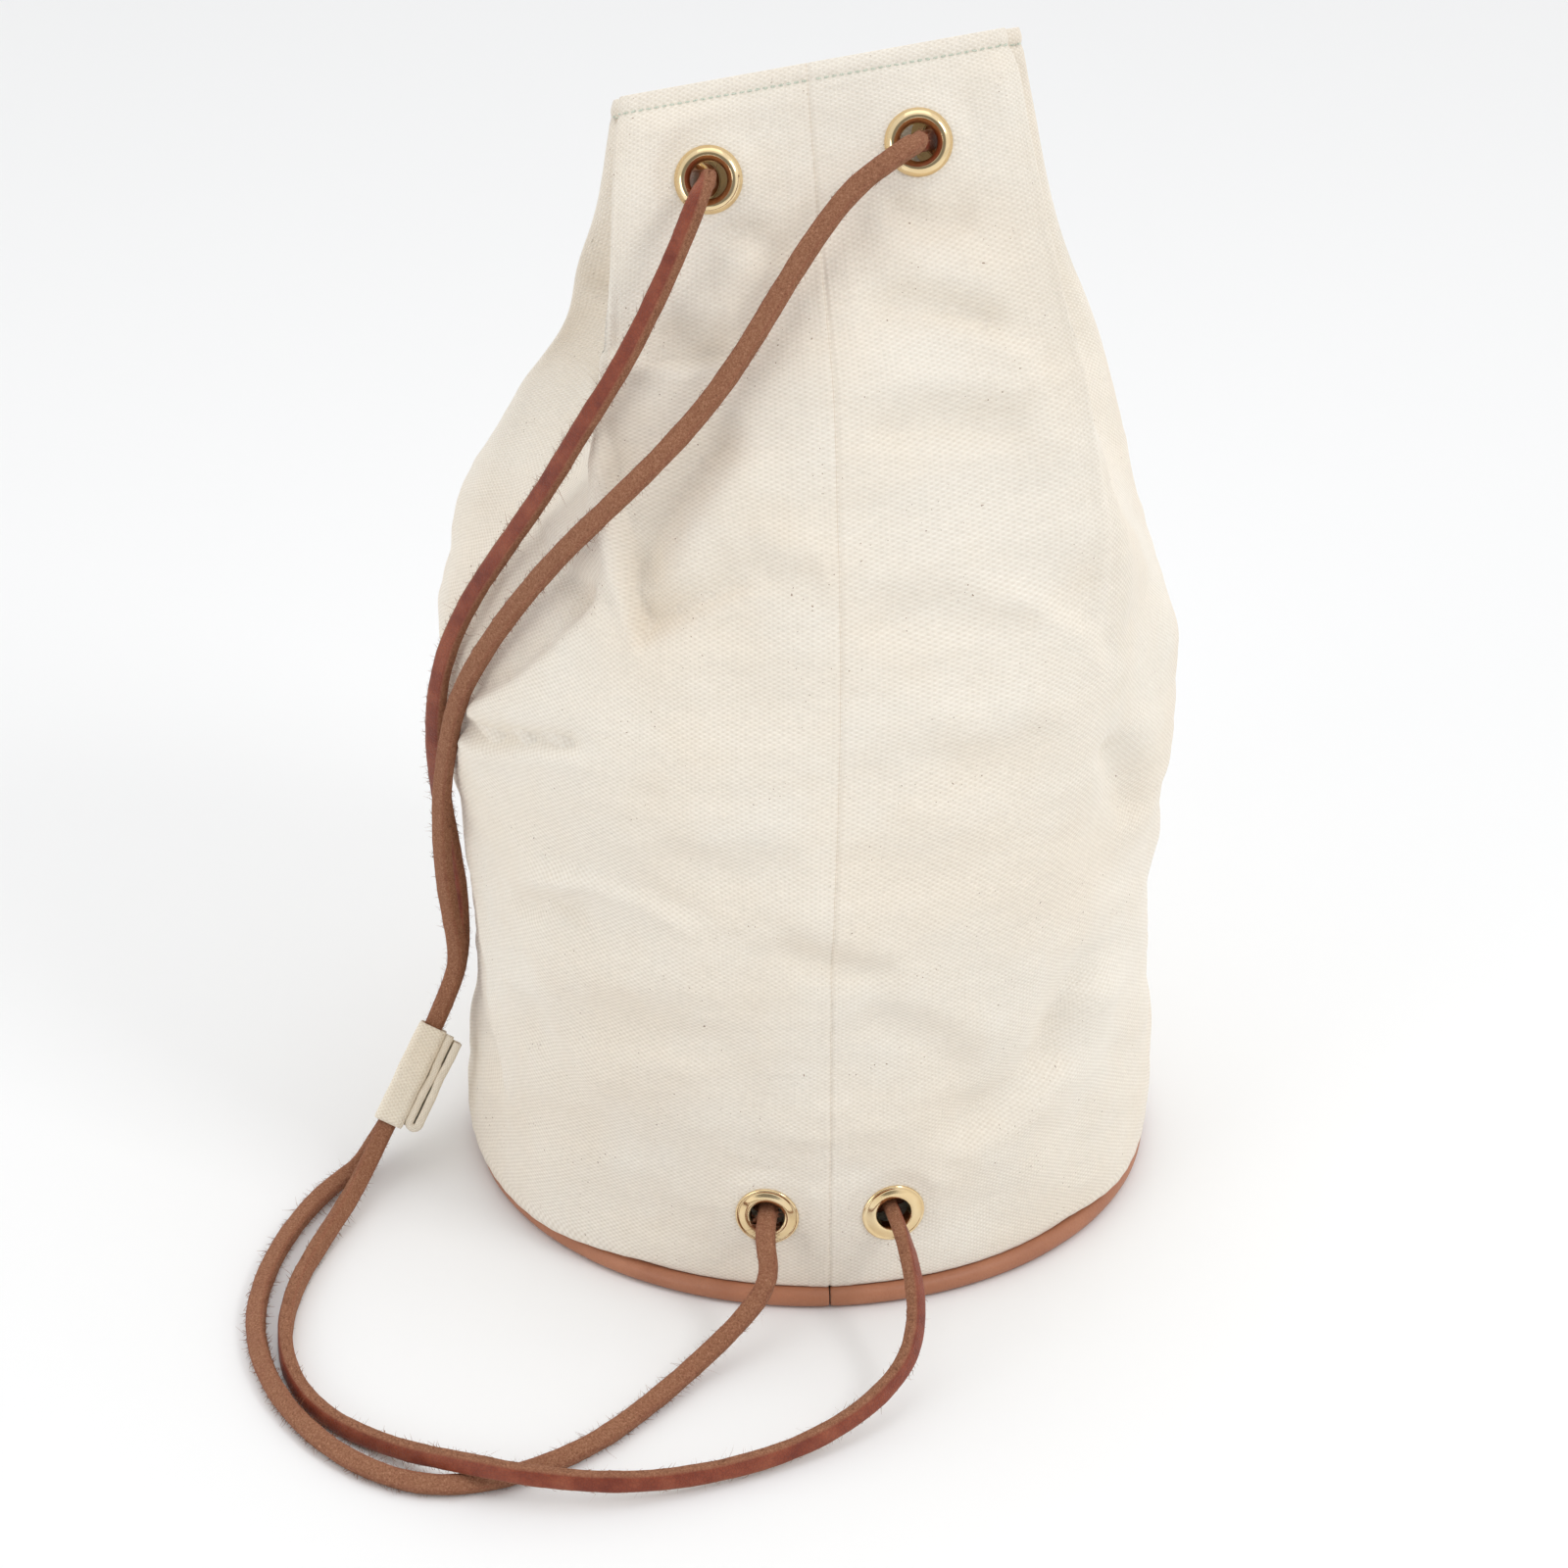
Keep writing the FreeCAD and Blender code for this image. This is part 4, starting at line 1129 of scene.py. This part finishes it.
base_sheet = disc("base_cloth", 114.1, 0.02, 1.58, 0.15, 61, canvas)
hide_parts("base_canvas")
lining_low, lining_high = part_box("base_lining")
lining = disc("base_lining_cloth", 111.9, lining_low.z / MM, lining_high.z / MM + 1.2, 0.6, 67,
              canvas)
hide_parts("base_lining")

for node_name, material_name, roughness, scale, detail, dark, light in (
        ("base_board", "fibre_board", 0.85, 700.0, 5.0, (0.20, 0.14, 0.09), (0.36, 0.27, 0.18)),
        ("piping_core", "cord_filler", 0.9, 1200.0, 4.0, (0.62, 0.57, 0.48), (0.82, 0.78, 0.70))):
    shader = Shader(material_name, Roughness=roughness)
    fibre = shader.noise(shader.node("TexCoord").outputs["Object"], scale, detail, 0.7)
    shader.feed("Base Color", shader.ramp(fibre, (0.3, dark), (0.7, light)))
    coat(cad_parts[node_name], shader.material)


# ------------------------------------------------------------------- knots

def knot(name, seat, node):
    """The lace's end tied in an overhand knot behind its eyelet."""
    out = seat[1]
    low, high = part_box(node)
    middle = np.array((low + high) * 0.5) / MM
    angles = np.linspace(0.0, TAU, 161)[:-1]
    trefoil = np.column_stack([
        np.sin(angles) + 2.0 * np.sin(2.0 * angles), np.cos(angles) - 2.0 * np.cos(2.0 * angles),
        -1.25 * np.sin(3.0 * angles)])
    side, other = sides_of(out)
    path = middle + 1.95 * (
        trefoil[:, [0]] * side + trefoil[:, [1]] * other + trefoil[:, [2]] * out)
    ahead, sides, ups = carried_frames(path, out)
    profile = rounded_profile(5.6, 4.8, 2.0)
    count = len(profile)
    rings = (path[:, None] + profile[None, :, [0]] * sides[:, None]
             + profile[None, :, [1]] * ups[:, None])
    faces = grid_faces(len(path), count, closed=True)
    last = (len(path) - 1) * count
    join = [[last + k, last + (k + 1) % count, (k + 1) % count, k] for k in range(count)]
    piece = new_mesh(name, rings.reshape(-1, 3), faces.tolist() + join)
    set_suede(piece, 0.6)
    paint(piece, lace)
    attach(piece, "bag")
    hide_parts(node)
    return piece


knot_left = knot("knot_left_tie", bottom_left, "knot_left")
knot_right = knot("knot_right_tie", bottom_right, "knot_right")


# ------------------------------------------------------------------ slider

axis = unit(STRAIGHT_TOP - STRAIGHT_END)
strand_way = unit(STRAND_STEP)
flange_way = unit(np.cross(strand_way, axis))
slider_centre = STRAIGHT_END + axis * 34.5
SLIDER_HALF = 18.9


def slider_loop(profile, near_end, seed):
    """Rings of one profile along the slider, slightly slack, and rounded off at both ends."""
    stations = np.linspace(-SLIDER_HALF, SLIDER_HALF, 44)
    rings = []
    for station in stations:
        end = (abs(station) - (SLIDER_HALF - 0.7)) / 0.7
        shrink = near_end * max(0.0, end) ** 2
        slack = 0.14 * math.sin(station / 4.3 + seed) + 0.10 * math.sin(station / 1.9 + 2.0 * seed)
        middle = profile.mean(0)
        from_middle = profile - middle
        size = np.linalg.norm(from_middle, axis=1, keepdims=True)
        moved = middle + from_middle * (1.0 + (slack - shrink) / size)
        rings.append(slider_centre + axis * station + moved[:, [0]] * flange_way
                     + moved[:, [1]] * strand_way)
    return np.array(rings), stations


def slider_mesh(name):
    """The sleeve: an outer and an inner face, joined at both ends."""
    spots, faces, uvs = [], [], []
    start = 0

    def add(rings, stations, flip):
        nonlocal start
        count = rings.shape[1]
        quads = grid_faces(len(rings), count, closed=True)
        if flip:
            quads = quads[:, ::-1]
        lengths = np.linalg.norm(np.roll(rings[0], -1, 0) - rings[0], axis=1)
        u = np.concatenate([[0.0], np.cumsum(lengths)[:-1]])
        uvs.append(grid_uvs(u, stations, quads, count, u_period=lengths.sum()).reshape(-1, 2))
        faces.extend((quads + start).tolist())
        spots.append(rings.reshape(-1, 3))
        start += rings.shape[0] * count
        return start - rings.shape[0] * count, count

    corner_points = 7
    outside = rounded_profile(10.8, 18.2, 2.6, corner_points)
    inside = rounded_profile(8.6, 16.0, 1.6, corner_points)
    out_rings, stations = slider_loop(outside, 0.5, 0.4)
    in_rings, _ = slider_loop(inside, -0.25, 0.4)
    out_start, count = add(out_rings, stations, True)
    in_start, _ = add(in_rings, stations, False)
    for ring, flip in ((0, False), (len(stations) - 1, True)):
        for k in range(count):
            a, b = ring * count + k, ring * count + (k + 1) % count
            quad = [out_start + a, out_start + b, in_start + b, in_start + a]
            faces.append(quad[::-1] if flip else quad)
            uvs.append(np.array([(0.0, 0.0), (0.001, 0.0), (0.001, 0.001), (0.0, 0.001)]))
    return new_mesh(name, np.vstack(spots), faces, np.vstack(uvs))


def flange_mesh(name):
    """The sleeve's seam: its edge folded into a hairpin, with a slit between the two legs."""
    top, turn_at, half_gap, first_leg = 18.4, -15.0, 1.80, 6.75
    down_leg = np.linspace(top, turn_at, 30)
    up_leg = np.linspace(turn_at, top - 1.2, 30)
    turn = np.linspace(0.0, 0.5 * TAU, 12)[1:-1]
    flat = np.vstack([
        np.column_stack([first_leg + 0.45 * bell(down_leg - 3.0, 4.0), down_leg]),
        np.column_stack([first_leg + half_gap * (1.0 - np.cos(turn)),
                         turn_at - half_gap * np.sin(turn)]),
        np.column_stack([first_leg + 2.0 * half_gap - 0.35 * bell(up_leg - 3.0, 4.0), up_leg])])
    path = slider_centre + flat[:, [0]] * flange_way + flat[:, [1]] * axis - strand_way * 3.4
    path, along = evenly(path, 0.8)
    ahead = unit(np.gradient(path, axis=0))
    ups = np.tile(strand_way, (len(path), 1))
    sizes = 1.0 + wobble(along, 0.04, 9.0, 5)
    return swept(name, path, (ahead, np.cross(ups, ahead), ups), rounded_profile(3.05, 8.6, 1.3),
                 sizes, along)


def flange_back_mesh(name):
    """The cloth behind the hairpin's slit."""
    stations = np.linspace(-17.5, 17.5, 40)
    path = slider_centre + stations[:, None] * axis + 8.3 * flange_way - strand_way * 0.2
    ups = np.tile(strand_way, (len(path), 1))
    sides = np.tile(flange_way, (len(path), 1))
    ahead = np.cross(sides, ups)
    return swept(name, path, (ahead, sides, ups), rounded_profile(6.0, 2.6, 1.0),
                 np.ones(len(path)), stations)


slider = slider_mesh("slider_sleeve")
flange = flange_mesh("slider_flange")
flange_back = flange_back_mesh("slider_flange_back")
for piece in (slider, flange, flange_back):
    paint(piece, ribbed)
    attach(piece, "slider")
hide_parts("slider")

for piece, path, frames, seat, count, seed, knot_piece in (
        (strap_left, left_path, left_frames, mouth_seats[0], 3400, 81, knot_left),
        (strap_right, right_path, right_frames, mouth_seats[-1], 3000, 83, knot_right)):
    fuzz = fuzz_on(piece.name + "_fibres", path, frames, count, seed)
    paint(fuzz, lace)
    set_suede(fuzz, 1.0)
    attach(fuzz, "bag")

# -------------------------------------------------------------------- stage

floor_mesh = bpy.data.meshes.new("floor")
floor_mesh.from_pydata([(-6, -6, 0), (6, -6, 0), (6, 6, 0), (-6, 6, 0)], [], [(0, 1, 2, 3)])
floor = bpy.data.objects.new("floor", floor_mesh)
bpy.context.scene.collection.objects.link(floor)
floor_shader = Shader("floor_paper", Roughness=0.6)
floor_shader.surface.inputs["Base Color"].default_value = (0.88, 0.885, 0.89, 1.0)
floor.data.materials.append(floor_shader.material)

bpy.context.scene.view_settings.view_transform = "Standard"
world = bpy.data.worlds.new("studio")
world.use_nodes = True
bpy.context.scene.world = world


def soft_room(tree):
    """A white tent, brightest above and to the right, with the dark room at its open front."""
    background = tree.nodes["Background"]
    background.inputs["Strength"].default_value = 1.0
    way = tree.nodes.new("ShaderNodeTexCoord").outputs["Generated"]

    def along(direction):
        made = tree.nodes.new("ShaderNodeVectorMath")
        made.operation = "DOT_PRODUCT"
        made.inputs[1].default_value = direction
        tree.links.new(way, made.inputs[0])
        return made.outputs["Value"]

    def ranged(value, low, high, out_low, out_high):
        made = tree.nodes.new("ShaderNodeMapRange")
        made.interpolation_type = "SMOOTHSTEP"
        for socket, number in zip(list(made.inputs)[1:5], (low, high, out_low, out_high)):
            socket.default_value = number
        tree.links.new(value, made.inputs["Value"])
        return made.outputs["Result"]

    tent = ranged(along((0.80, 0.30, 0.52)), -0.9, 0.9, 0.80, 1.0)
    opening = ranged(along((-0.10, -0.97, 0.22)), 0.74, 0.92, 1.035, 0.30)
    product = tree.nodes.new("ShaderNodeMath")
    product.operation = "MULTIPLY"
    tree.links.new(tent, product.inputs[0])
    tree.links.new(opening, product.inputs[1])
    tree.links.new(product.outputs[0], background.inputs["Color"])


soft_room(world.node_tree)


def area_light(name, place, aim, size, power):
    data = bpy.data.lights.new(name, "AREA")
    data.size = size
    data.energy = power
    light = bpy.data.objects.new(name, data)
    light.location = place
    light.rotation_euler = (Vector(aim) - Vector(place)).to_track_quat("-Z", "Y").to_euler()
    bpy.context.scene.collection.objects.link(light)


area_light("key", (1.1, -0.9, 1.5), (0.0, 0.0, 0.2), 0.5, 7.0)
area_light("fill", (-1.3, -1.2, 0.6), (0.0, 0.0, 0.15), 0.8, 5.0)
area_light("top", (0.0, 0.2, 2.0), (0.0, 0.0, 0.2), 1.4, 3.5)
